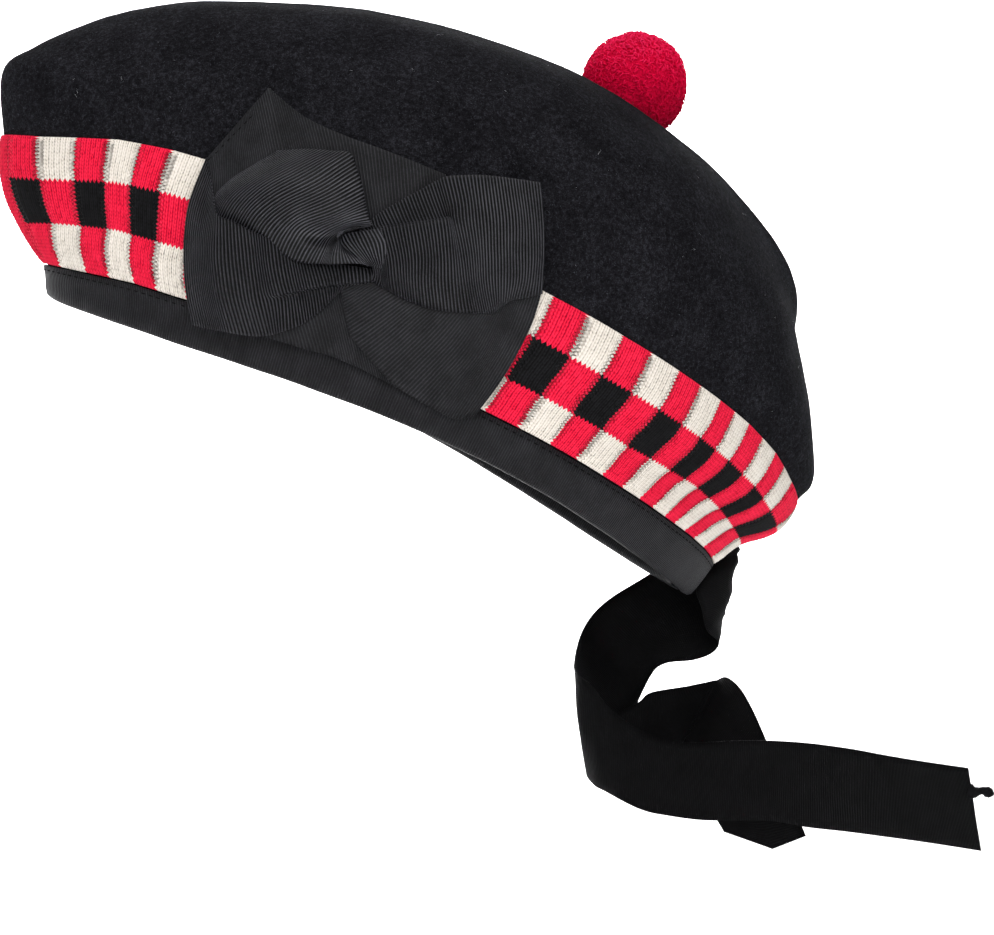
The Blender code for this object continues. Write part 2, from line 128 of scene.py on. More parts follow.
def capPoint(level, along, side, sunk=0.0):
    # a point of the felt's outer face; sunk runs from 0 at the ridge to 1 in the valley
    level, along, side, sunk = np.broadcast_arrays(level, along, side, sunk)
    forward, backward, frontRise, backRise, sideRise, bulge, tuck = np.moveaxis(
        smoothRows(capLevels, level), -1, 0)
    frontX = -cap["rimLength"] / 2 - forward * cap["frontOverhang"] + sunk * cap["valleySetback"]
    backX = cap["rimLength"] / 2 + backward * cap["backOverhang"] - sunk * cap["valleySetback"]
    frontZ, backZ = frontRise * cap["crownHeight"], backRise * cap["crownHeight"]
    sideZ = mix(cap["rimArch"], cap["crownHeight"], sideRise)
    topRoundness = mix(cap["topFrontRoundness"], cap["topBackRoundness"], along)
    inside = (along > 0) & (along < 1)
    peak = mix(cap["rimPeak"], cap["topPeak"], sideRise)
    turn = np.where(inside, np.sin(math.pi * along**peak), 0)
    arch = np.maximum(turn, 0) ** mix(cap["rimRoundness"], topRoundness, sideRise)
    turn = np.where(inside, np.sin(math.pi * along ** cap["planPeak"]), 0)
    plan = np.maximum(turn, 0) ** cap["planFullness"]
    half = mix(cap["rimWidth"], cap["crownWidth"], bulge) / 2
    half = half - tuck * (cap["crownWidth"] - cap["ridgeSpacing"]) / 2
    z = mix(frontZ, backZ, along) + (sideZ - (frontZ + backZ) / 2) * arch
    z = z - cap["valleyDepth"] * (1 - np.cos(sunk * math.pi / 2)) * np.sqrt(plan)
    # the binding is lower at the front and its corner there is rounded
    lift = cap["cornerLift"] * np.exp(-along / cap["cornerReach"])
    lift = lift + cap["frontLift"] * np.exp(-(along / cap["frontReach"]) ** 2)
    z = z + lift * np.maximum(1 - level, 0) ** 1.5
    slit = cap["ventGap"] / 2 * (1 - (backZ / cap["ventHeight"]) ** 2)
    edge = np.where(along > 0.5, np.maximum(slit, 0), 0)
    y = side * mix(edge, half, plan) * (1 - sunk)
    return np.stack([mix(frontX, backX, along), y, z], -1)


def capSheet(levels, shares):
    # points and outward directions round each level, from the back of the wearer's left, round
    # the front, to the back of the right; shares run along one half from the front to the vent
    away = np.linspace(0, 1, sampling["along"]) ** sampling["closer"]
    u = np.concatenate([1 - away[::-1], 1 + away[1:]])
    dense = capPoint(np.asarray(levels)[:, None], np.abs(u - 1)[None], np.sign(u - 1)[None])
    points = np.empty((len(levels), 2 * len(shares) - 1, 3))
    for i, line in enumerate(dense):
        run = runAlong(line)
        front, end = run[len(u) // 2], run[-1]
        at = np.concatenate([front * (1 - shares[:0:-1]), front + (end - front) * shares])
        points[i] = readRows(at, run, line)
    return points, outward(points)


def wallGrid(heights, shares):
    # points and outward directions of the side wall, from heights above the rim and shares that
    # run from -1 at the vent's left edge through 0 at the front to 1; both are rows by columns
    step, fine = sampling["wallStep"], sampling["wallColumns"]
    levels = levelAt(np.arange(sampling["wallRows"]) * step)
    points, outs = capSheet(levels, np.linspace(0, 1, fine + 1))
    up, across = np.broadcast_arrays(heights / step, (1 + shares) * fine)
    i = up.astype(int)
    j = np.minimum(across.astype(int), 2 * fine - 1)
    f, g = (up - i)[..., None], (across - j)[..., None]

    def read(table):
        return mix(mix(table[i, j], table[i, j + 1], g), mix(table[i + 1, j], table[i + 1, j + 1], g), f)

    return read(points), unit(read(outs))


def tubes(paths, radii, sides, guide):
    # closed tubes along many paths at once; guide is a direction that no path follows
    ahead = unit(np.gradient(paths, axis=1))
    ringA = unit(np.cross(ahead, guide))
    ringB = np.cross(ahead, ringA)
    count, steps = paths.shape[:2]
    verts = np.empty((count, steps, sides, 3))
    for k in range(sides):
        turn = 2 * math.pi * k / sides
        ring = ringA * math.cos(turn) + ringB * math.sin(turn)
        verts[:, :, k] = paths + ring * np.broadcast_to(radii, (count, steps))[..., None]
    base = np.arange(count)[:, None, None] * steps * sides
    row = np.arange(steps - 1)[None, :, None] * sides
    k = np.arange(sides)[None, None]
    n = (k + 1) % sides
    wall = np.stack([base + row + k, base + row + n, base + row + sides + n, base + row + sides + k], -1)
    faces = [tuple(f) for f in wall.reshape(-1, 4).tolist()]
    for first in base.ravel().tolist():
        last = first + (steps - 1) * sides
        faces.append(tuple(first + q for q in reversed(range(sides))))
        faces.append(tuple(last + q for q in range(sides)))
    return verts.reshape(-1, 3), faces


def toWorld(points):
    return np.asarray(points) @ tiltRows.T


def gridFaces(rows, columns, start=0, flip=False):
    a = (np.arange(rows - 1)[:, None] * columns + np.arange(columns - 1)[None]).ravel() + start
    faces = np.stack([a, a + 1, a + columns + 1, a + columns], 1)
    return faces[:, ::-1] if flip else faces


def makeMesh(name, points, faces, materials, slots=None):
    # one mesh object with its place in its vertices
    mesh = bpy.data.meshes.new(name)
    mesh.from_pydata(np.asarray(points).tolist(), [], [list(map(int, f)) for f in faces])
    for material in materials:
        mesh.materials.append(material)
    if slots is not None:
        mesh.polygons.foreach_set("material_index", np.asarray(slots, np.int32))
    mesh.shade_smooth()
    item = bpy.data.objects.new(name, mesh)
    bpy.context.scene.collection.objects.link(item)
    mesh.update()
    return item


def setFloat(item, name, values):
    layer = item.data.attributes.new(name, "FLOAT", "POINT")
    layer.data.foreach_set("value", np.asarray(values, np.float32).ravel())


def setUV(item, uvs):
    # a UV per vertex, handed to the corners
    layer = item.data.uv_layers.new(name="ribbon")
    corners = np.empty(len(item.data.loops), np.int32)
    item.data.loops.foreach_get("vertex_index", corners)
    layer.data.foreach_set("uv", np.asarray(uvs, np.float32)[corners].ravel())


def applyModifier(item, kind, **settings):
    modifier = item.modifiers.new(kind.title(), kind)
    for name, value in settings.items():
        setattr(modifier, name, value)
    bpy.ops.object.select_all(action="DESELECT")
    bpy.context.view_layer.objects.active = item
    item.select_set(True)
    bpy.ops.object.modifier_apply(modifier=modifier.name)
    item.select_set(False)


def meshArea(item):
    areas = np.empty(len(item.data.polygons))
    item.data.polygons.foreach_get("area", areas)
    return float(areas.sum())


def place(item, slot, *nodes):
    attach(item, "root")
    if nodes:
        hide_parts(*nodes)


# Camera as in the photo, and the photo's size in pixels
view = {"azimuth": -15.0, "elevation": 7.5, "lens": 74.1, "sensor": 36.0,
        "place": (-0.1356, -0.6433, 0.0823), "width": 994, "height": 935}
# Close-ups of the photo on which places were picked: the column and row of their corner in the photo, and
# their magnification
closeUps = {"photo": (0, 0, 1), "bow": (180, 85, 4.126), "loop": (204.96, 145.01, 8.71)}


def viewAxes():
    # the camera's right, up and backward directions
    a, e = math.radians(view["azimuth"]), math.radians(view["elevation"])
    back = Vector((math.sin(a) * math.cos(e), -math.cos(a) * math.cos(e), math.sin(e)))
    right = Vector((math.cos(a), math.sin(a), 0))
    return right, back.cross(right), back


def photoRays(picks, closeUp):
    # the directions in which the camera sees picks, which start with a column and a row
    left, top, zoom = closeUps[closeUp]
    pixel = view["sensor"] / view["lens"] / view["width"]
    right, up, back = (np.array(axis) for axis in viewAxes())
    across = (left + picks[..., 0] / zoom - view["width"] / 2) * pixel
    down = (top + picks[..., 1] / zoom - view["height"] / 2) * pixel
    return across[..., None] * right - down[..., None] * up - back


# Colours and nodes

def hexColour(text):
    # sRGB hex to linear
    parts = [int(text[i:i + 2], 16) / 255 for i in (0, 2, 4)]
    return (*[c / 12.92 if c <= 0.04045 else ((c + 0.055) / 1.055) ** 2.4 for c in parts], 1.0)


def addNode(tree, kind, links=None, **settings):
    # one node with its settings; links holds socket names with values or other sockets
    node = tree.nodes.new(kind)
    for name, value in settings.items():
        setattr(node, name, value)
    for name, value in (links or {}).items():
        socket = node.inputs[name]
        if isinstance(value, bpy.types.NodeSocket):
            tree.links.new(value, socket)
        else:
            socket.default_value = value
    return node


def newMaterial(name, roughness, sheen, sheenRoughness, sheenTint, specular=0.5):
    material = bpy.data.materials.new(name)
    material.use_nodes = True
    tree = material.node_tree
    shader = tree.nodes["Principled BSDF"]
    shader.inputs["Roughness"].default_value = roughness
    shader.inputs["Sheen Weight"].default_value = sheen
    shader.inputs["Sheen Roughness"].default_value = sheenRoughness
    shader.inputs["Sheen Tint"].default_value = hexColour(sheenTint)
    shader.inputs["Specular IOR Level"].default_value = specular
    return material, tree, shader


def ramp(tree, factor, stops):
    # a colour ramp; stops are (place, hex)
    node = addNode(tree, "ShaderNodeValToRGB", {"Fac": factor})
    line = node.color_ramp
    while len(line.elements) < len(stops):
        line.elements.new(0.5)
    for element, (where, text) in zip(line.elements, stops):
        element.position = where
        element.color = hexColour(text)
    return node.outputs["Color"]


def grain(tree, where, size, detail=2.0, roughness=0.5, distortion=0.0):
    # noise with lumps of a real size
    links = {"Vector": where, "Scale": 1 / size, "Detail": detail, "Roughness": roughness,
             "Distortion": distortion}
    return addNode(tree, "ShaderNodeTexNoise", links).outputs["Fac"]


def maths(tree, operation, *values):
    return addNode(tree, "ShaderNodeMath", dict(enumerate(values)), operation=operation).outputs[0]


def span(tree, value, low, high, toLow=0.0, toHigh=1.0):
    links = {"Value": value, "From Min": low, "From Max": high, "To Min": toLow, "To Max": toHigh}
    return addNode(tree, "ShaderNodeMapRange", links).outputs[0]


def blend(tree, share, first, second):
    links = {"Factor": share, "A": first, "B": second}
    return addNode(tree, "ShaderNodeMix", links, data_type="RGBA").outputs["Result"]


def surface(tree, shader, colour, height=None, strength=0.0, distance=0.0):
    # colour and bump into the shader
    tree.links.new(colour, shader.inputs["Base Color"])
    if height is not None:
        links = {"Height": height, "Strength": strength, "Distance": distance}
        bump = addNode(tree, "ShaderNodeBump", links)
        tree.links.new(bump.outputs[0], shader.inputs["Normal"])


def objectSpace(tree):
    return addNode(tree, "ShaderNodeTexCoord").outputs["Object"]


def shadeOf(tree):
    # the painted light and shade, with some random tone, that a mesh carries at each point
    return addNode(tree, "ShaderNodeAttribute", attribute_name="shade").outputs["Fac"]


# Milled wool felt, boiled and brushed: near-black with pale specks and a soft dull nap
feltLook = {"dark": "0b0b0d", "middle": "19191c", "light": "2c2c31", "speck": "484a51",
            "cloud": 14 * mm, "pill": 1.3 * mm, "fibre": 0.45 * mm, "speckSize": 0.6 * mm,
            "bump": 0.4 * mm}


def makeFelt():
    look = feltLook
    material, tree, shader = newMaterial("milledWoolFelt", 0.95, 0.008, 0.40, "9aa0b8", 0.03)
    where = objectSpace(tree)
    fine = maths(tree, "ADD", grain(tree, where, look["pill"], 3.0, 0.65),
                 grain(tree, where, look["fibre"], 2.0, 0.7))
    total = maths(tree, "MULTIPLY_ADD", grain(tree, where, look["cloud"]), 0.4, fine)
    colour = ramp(tree, span(tree, total, 0.95, 1.50),
                  ((0.0, look["dark"]), (0.5, look["middle"]), (1.0, look["light"])))
    # single pale fibre ends
    pale = span(tree, grain(tree, where, look["speckSize"], 1.0, 0.5, 1.5), 0.68, 0.78, 0.0, 0.7)
    colour = blend(tree, pale, colour, hexColour(look["speck"]))
    surface(tree, shader, colour, fine, 0.7, look["bump"])
    return material


def makeFibre(name, colours, sheen):
    # single fibres that stand off a cloth
    material, tree, shader = newMaterial(name, 0.9, sheen, 0.4, "ffffff", 0.1)
    first, second = (hexColour(text) for text in colours)
    surface(tree, shader, blend(tree, grain(tree, objectSpace(tree), 2 * mm), first, second))
    return material


# Knitted worsted yarn: matt, with painted shade in the holes between the stitches and painted light on their
# legs
knitColours = {"Red": ("6a0016", "dc0b31", "ff2c50"), "Cream": ("7d7264", "ded4c7", "faf3ea"),
               "Black": ("030303", "0c0c0d", "1d1d1f")}


def makeKnit(name, paintedHoleShade, middle, legColourAndPaintedLight):
    material, tree, shader = newMaterial("worstedKnit" + name, 0.9, 0.03, 0.5, "ffffff", 0.08)
    fibres = grain(tree, objectSpace(tree), 0.4 * mm, 3.0, 0.7)
    total = maths(tree, "MULTIPLY_ADD", fibres, 0.35, shadeOf(tree))
    colour = ramp(tree, total, ((0.24, paintedHoleShade), (0.50, middle), (0.92, legColourAndPaintedLight)))
    surface(tree, shader, colour, fibres, 0.5, 0.15 * mm)
    return material


# Grosgrain: filament warp over thick weft ribs, with painted shade between them and a painted satin highlight
# on each rib
def makeGrosgrain(name, paintedGrooveShade, crest, roughness, specular, ribPitch, grooveDepthAndShade):
    # the last argument is how far the painted groove shade darkens, 0 to 1, and how deep the bump's grooves
    # run; the groove colour is painted shade and the crest colour a painted highlight
    material, tree, shader = newMaterial(name, roughness, 0.02, 0.35, "c9ccd6", specular)
    coords = addNode(tree, "ShaderNodeTexCoord")
    where = coords.outputs["Object"]
    along = addNode(tree, "ShaderNodeSeparateXYZ", {"Vector": coords.outputs["UV"]}).outputs["X"]
    turns = maths(tree, "MULTIPLY", along, 2 * math.pi / ribPitch)
    rib = span(tree, maths(tree, "COSINE", turns), -1.0, 1.0)
    # painted shade between the ribs and a painted highlight on each crest
    ribbed = span(tree, maths(tree, "POWER", rib, 3.0), 0.0, 1.0, 0.35 * (1 - grooveDepthAndShade), 0.35 + 0.65 * grooveDepthAndShade)
    fine = grain(tree, where, 0.5 * mm)
    uneven = span(tree, maths(tree, "ADD", fine, grain(tree, where, 7 * mm)), 0.7, 1.3, 0.6, 1.4)
    colour = ramp(tree, maths(tree, "MULTIPLY", ribbed, uneven), ((0.0, paintedGrooveShade), (1.0, crest)))
    height = maths(tree, "MULTIPLY_ADD", fine, 0.5, rib)
    surface(tree, shader, colour, height, 0.8, 0.25 * mm * grooveDepthAndShade)
    return material


# Merino yarn, cut and curled: saturated red, painted pinker where the curls stand out and face up and darker
# deeper in, as painted light and shade
def makeToorieWool():
    material, tree, shader = newMaterial("curledMerinoYarn", 0.9, 0.5, 0.40, "ff2058", 0.04)
    total = maths(tree, "MULTIPLY_ADD", grain(tree, objectSpace(tree), 0.5 * mm), 0.4, shadeOf(tree))
    surface(tree, shader, ramp(tree, total, ((0.1, "a00428"), (0.55, "e2093e"), (0.95, "ff2c66"))))
    return material


felt = makeFelt()
nap = makeFibre("brushedWoolNap", ("1c1d22", "3c3e47"), 0.05)
lint = makeFibre("cottonLint", ("a9acb4", "e4e6ea"), 0.1)
knits = [makeKnit(name, *shades) for name, shades in knitColours.items()]
# painted groove-shade and crest-highlight colours, roughness, specular, pitch of the ribs, depth of the
# grooves and of their painted shade
bindingRibbon = makeGrosgrain("rayonGrosgrainBinding", "060606", "3a3a3e", 0.50, 0.10, 0.8 * mm, 0.45)
# one bow ribbon in three copies with painted light: the loop's and knot's crests get the brightest painted
# highlight, the lobe's and wing's less, and the flat backing's and end panel's least, with shallower painted
# groove shade
bowRibbons = {
    "loop": makeGrosgrain("rayonGrosgrainBrightestPaintedHighlight", "010101", "525258", 0.36, 0.16, 1.05 * mm, 1.0),
    "lobe": makeGrosgrain("rayonGrosgrainBrightPaintedHighlight", "010101", "434348", 0.40, 0.12, 1.05 * mm, 1.0),
    "flat": makeGrosgrain("rayonGrosgrainDimPaintedHighlight", "050505", "3b3b3f", 0.45, 0.10, 1.05 * mm, 0.45),
}
tailRibbon = makeGrosgrain("rayonGrosgrainTail", "050505", "161618", 0.65, 0.04, 0.8 * mm, 0.4)
toorieWool = makeToorieWool()
thread = makeFibre("spunPolyesterThread", ("020202", "0a0a0b"), 0.02)
print("materials made")


# Crown of milled felt, one folded skin with a soft valley along its top
crownSpec = {"columns": 300, "rows": 84, "valleyRows": 14, "softLumps": 0.45 * mm,
             "smallLumps": 0.14 * mm, "lumpSize": 24 * mm, "smallSize": 6 * mm, "weld": 0.02 * mm,
             "lumpFade": 6 * mm, "inside": (0.02, 0, 0.03)}


def heightAboveRim(spots):
    level = spots @ tiltRows
    along = np.clip(level[:, 0] / cap["rimLength"] + 0.5, 0, 1)
    return level[:, 2] - cap["rimArch"] * np.sin(math.pi * along)


def makeCrown():
    spec = crownSpec
    half = spec["columns"] // 2
    steps = 0.5 - 0.5 * np.cos(math.pi * np.arange(half + 1) / half)
    along = np.concatenate([steps[::-1], steps[1:]])
    side = np.concatenate([-np.ones(half), [-1], np.ones(half)])
    wall = capPoint(np.linspace(0, topLevel, spec["rows"])[:, None], along[None], side[None])
    sunk = np.linspace(0, 1, spec["valleyRows"] + 1)[1:]
    valley = capPoint(float(topLevel), along[None], side[None], sunk[:, None])
    points = np.concatenate([wall, valley])
    rows, columns = points.shape[:2]
    item = makeMesh("wool_crown", toWorld(points.reshape(-1, 3)), gridFaces(rows, columns), [felt])
    work = bmesh.new()
    work.from_mesh(item.data)
    bmesh.ops.remove_doubles(work, verts=work.verts, dist=spec["weld"])
    bmesh.ops.recalc_face_normals(work, faces=work.faces)
    work.normal_update()
    centre = Vector(spec["inside"])
    if sum(f.normal.dot(f.calc_center_median() - centre) for f in work.faces) < 0:
        bmesh.ops.reverse_faces(work, faces=work.faces)
    bandTop = cap["bindingHeight"] + cap["bandHeight"]
    heights = heightAboveRim(np.array([vert.co[:] for vert in work.verts]))
    for vert, free in zip(work.verts, np.clip((heights - bandTop) / spec["lumpFade"], 0, 1)):
        lump = noise.noise(vert.co / spec["lumpSize"]) * spec["softLumps"]
        lump += noise.noise(vert.co / spec["smallSize"]) * spec["smallLumps"]
        vert.co += vert.normal * lump * float(free)
    work.to_mesh(item.data)
    work.free()
    skin = item.data.copy()
    applyModifier(item, "SOLIDIFY", thickness=cap["feltWall"], offset=-1.0)
    item.data.shade_smooth()
    place(item, "felt", "crown")
    return item, skin


crown, crownSkin = makeCrown()
print("crown made", len(crown.data.polygons), "faces")


# Fibres that stand off the felt, closed spikes of four faces
napSpec = {"count": 25000, "long": 1.7 * mm, "wide": 0.05 * mm, "lean": 1.1, "sunk": 0.15 * mm,
           "shortest": 0.35, "overBand": 8 * mm, "lintCount": 260, "lintShort": 0.6 * mm,
           "lintVaries": 2.2 * mm, "lintWide": 0.09 * mm, "lintLean": 5.0}


def spikes(name, roots, outs, lengths, widths, leans, material):
    # slim closed spikes, straight and each with its own lean
    count = len(roots)
    outs = unit(outs)
    side = unit(np.cross(outs, rng.normal(size=(count, 3))))
    other = np.cross(outs, side)
    aim = unit(outs + side * leans[:, None])
    points = np.empty((count, 4, 3))
    for k in range(3):
        turn = 2 * math.pi * k / 3
        ring = side * math.cos(turn) + other * math.sin(turn)
        points[:, k] = roots - outs * napSpec["sunk"] + ring * widths[:, None] / 2
    points[:, 3] = roots + aim * lengths[:, None]
    start = np.arange(count)[:, None] * 4
    faces = np.concatenate([start + [[0, 1, 3]], start + [[1, 2, 3]], start + [[2, 0, 3]],
                            start + [[2, 1, 0]]])
    return makeMesh(name, points.reshape(-1, 3), faces, [material])


def scatter(mesh, count, keep):
    # random places on a mesh's faces, by area, where keep says so
    mesh.calc_loop_triangles()
    points = np.array([v.co[:] for v in mesh.vertices])
    corners = np.array([t.vertices[:] for t in mesh.loop_triangles])
    a, b, c = (points[corners[:, k]] for k in range(3))
    normals = np.cross(b - a, c - a)
    area = np.linalg.norm(normals, axis=1) / 2
    chosen = rng.choice(len(area), size=count, p=area / area.sum())
    r1, r2 = np.sqrt(rng.random(count)), rng.random(count)
    spots = (a[chosen] * (1 - r1)[:, None] + b[chosen] * (r1 * (1 - r2))[:, None]
             + c[chosen] * (r1 * r2)[:, None])
    outs = normals[chosen] / (2 * area[chosen])[:, None]
    good = keep(spots)
    return spots[good], outs[good]


def aboveBand(spots):
    return heightAboveRim(spots) > cap["bindingHeight"] + cap["bandHeight"] + napSpec["overBand"]


def makeNap():
    spots, outs = scatter(crownSkin, napSpec["count"], aboveBand)
    count = len(spots)
    lengths = napSpec["long"] * (napSpec["shortest"] + rng.random(count) ** 2)
    leans = rng.random(count) * napSpec["lean"]
    item = spikes("crown_nap", spots, outs, lengths, np.full(count, napSpec["wide"]), leans, nap)
    place(item, "felt")
    spots, outs = scatter(crownSkin, napSpec["lintCount"], aboveBand)
    count = len(spots)
    lengths = napSpec["lintShort"] + napSpec["lintVaries"] * rng.random(count) ** 2
    item = spikes("crown_lint", spots, outs, lengths, np.full(count, napSpec["lintWide"]),
                  np.full(count, napSpec["lintLean"]), lint)
    place(item, "felt")


makeNap()
print("nap made")


# Diced band, knitted in plain stitch, in two halves that meet at the front
bandSpec = {"sliverWales": 4, "wales": 7, "coursesPerRow": 12, "base": 1.35 * mm, "crest": 0.50 * mm,
            "bulge": 0.6 * mm, "lift": 2.0, "unevenness": 0.06, "toothFade": 7,
            "teeth": {"Red": 2.4, "Cream": 4.2, "Black": 3.2}, "toothSink": 0.7, "toothVaries": 0.4,
            "seat": 0.3 * mm, "backEvery": 12, "leanFade": 5, "wander": 1.4, "tone": 0.06,
            "backShade": 0.3}
# where the check columns end, as shares of the way from the front seam to the vent, on the four
# row lines from the lower edge up; the first column is a plain red sliver
checkEnds = (
    (0.012, 0.024, 0.020, 0.018), (0.041, 0.064, 0.060, 0.057), (0.080, 0.101, 0.100, 0.099),
    (0.112, 0.131, 0.131, 0.133), (0.143, 0.157, 0.157, 0.163), (0.170, 0.183, 0.185, 0.193),
    (0.204, 0.214, 0.217, 0.228), (0.236, 0.246, 0.248, 0.256), (0.268, 0.278, 0.280, 0.287),
    (0.300, 0.310, 0.312, 0.318), (0.332, 0.342, 0.344, 0.349), (0.364, 0.374, 0.376, 0.381),
    (0.396, 0.407, 0.408, 0.413), (0.429, 0.440, 0.440, 0.445), (0.462, 0.473, 0.472, 0.477),
    (0.494, 0.506, 0.504, 0.509), (0.526, 0.539, 0.537, 0.541), (0.567, 0.578, 0.576, 0.579),
    (0.606, 0.617, 0.613, 0.617), (0.643, 0.655, 0.650, 0.652), (0.682, 0.692, 0.686, 0.687),
    (0.715, 0.726, 0.719, 0.719), (0.745, 0.757, 0.748, 0.748), (0.771, 0.782, 0.774, 0.773),
    (0.796, 0.806, 0.799, 0.798), (0.819, 0.832, 0.829, 0.829), (0.844, 0.860, 0.859, 0.859),
    (0.871, 0.886, 0.886, 0.889), (0.903, 0.914, 0.916, 0.921), (0.948, 0.952, 0.962, 0.988),
    (1.000, 1.000, 1.000, 1.000),
)
# share along, then heights above the rim in mm: lower edge, two row lines, upper edge
rowLines = (
    (0.00, 12.8, 24.5, 38.5, 49.5),
    (0.06, 13.6, 27.5, 40.0, 51.0),
    (0.10, 14.2, 29.0, 41.5, 52.6),
    (0.14, 14.6, 30.0, 43.0, 54.2),
    (0.19, 14.0, 29.0, 43.2, 54.6),
    (0.35, 13.2, 25.5, 40.0, 52.5),
    (0.54, 12.0, 22.8, 36.8, 50.5),
    (0.62, 12.0, 22.8, 36.3, 50.3),
    (0.69, 12.0, 23.2, 37.0, 50.8),
    (0.75, 12.3, 24.8, 37.6, 51.5),
    (0.80, 12.5, 26.2, 37.8, 52.0),
    (0.86, 12.8, 26.0, 37.6, 51.3),
    (0.91, 12.6, 25.0, 36.6, 48.8),
    (1.00, 11.0, 23.5, 35.0, 46.0),
)
# which yarn each check takes, from the bottom row up
checkYarns = (("Cream", "Red", "Cream"), ("Red", "Black", "Red"))
# one stitch: two half courses by the four point columns of a wale, as relief and as painted shade that is
# dark in the holes and between the wales and light on the legs, and how far those lean
stitchRelief = np.array([(0.12, 0.60, 0.35, 0.60), (0.25, 1.0, 0.20, 1.0)])
stitchShade = np.array([(0.08, 0.64, 0.50, 0.64), (0.24, 0.88, 0.16, 0.88)])
stitchLean = np.array([1.0, 0.5, 0.0, 0.5])
# share of the base thickness, on some half courses from each edge
edgeThickness = ((0, 0.6), (8, 1.0), (-18, 1.0), (-1, 0.25))
# share of the relief on the outermost lines of points
edgeRelief = ((0, 0.2), (1, 0.6), (-2, 0.6), (-1, 0.2))


def lineHeights(shares):
    # the four lines of the band in metres, one row of shares a line
    return np.stack([np.interp(shares[k], *np.array(rowLines)[:, (0, 1 + k)].T) for k in range(4)]) * mm


def checkColours(edges, count, rows):
    # yarn numbers of one half's faces, from the front seam to the vent
    yarns = list(knitColours)
    check = np.searchsorted(edges, np.arange(count), side="right") - 1
    table = np.array([[yarns.index(checkYarns[k % 2][r] if k else "Red") for k in range(len(edges) - 1)]
                      for r in range(3)])
    return table[(np.arange(rows) * 3 // rows)[:, None], check[None]]


def toothShifts(edges, count, rows):
    # how far each point is pulled towards the front seam, in point columns, so that every course
    # ends in a tooth where two colours meet
    spec = bandSpec
    at = np.arange(count + 1)
    shifts = np.zeros((rows + 1, count + 1))
    for k in range(1, len(edges) - 1):
        fade = np.clip(1 - np.abs(at - edges[k]) / spec["toothFade"], 0, 1)
        for i in range(1, rows, 2):
            long = spec["teeth"][checkYarns[k % 2][i * 3 // rows]]
            shifts[i] += fade * long * (1 + spec["toothVaries"] * (rng.random() - 0.5))
    return shifts


def makeBandHalf(name, skin, flat, shade, colours):
    # the knitted face, a plain back with fewer rows, and thin faces between their edges
    (rows, wide), backRows = skin.shape[:2], len(flat)
    start, step = rows * wide, (rows - 1) // (backRows - 1)
    faces = gridFaces(rows, wide).tolist() + gridFaces(backRows, wide, start, flip=True).tolist()
    for c in range(wide - 1):
        top, topBack = (rows - 1) * wide + c, start + (backRows - 1) * wide + c
        faces.append((start + c, start + c + 1, c + 1, c))
        faces.append((top, top + 1, topBack + 1, topBack))
    for r in range(backRows - 1):
        for c, turnRound in ((0, False), (wide - 1, True)):
            loop = [(r * step + k) * wide + c for k in range(step + 1)]
            loop += [start + (r + 1) * wide + c, start + r * wide + c]
            faces.append(loop[::-1] if turnRound else loop)
    # the thin edges take the yarn next to them
    slots = np.zeros(len(faces), int)
    slots[:colours.size] = colours.ravel()
    edgeStart = colours.size + (backRows - 1) * (wide - 1)
    slots[edgeStart:edgeStart + 2 * (wide - 1)] = np.stack([colours[0], colours[-1]], 1).ravel()
    points = np.concatenate([skin.reshape(-1, 3), flat.reshape(-1, 3)])
    item = makeMesh(name, toWorld(points), faces, knits, slots)
    backShade = np.full(backRows * wide, bandSpec["backShade"])
    setFloat(item, "shade", np.concatenate([shade.ravel(), backShade]))
    place(item, "knit", "diced_band")
    high = round(cap["bandHeight"], 4)
    round(meshArea(item) / 2 / high, 3)


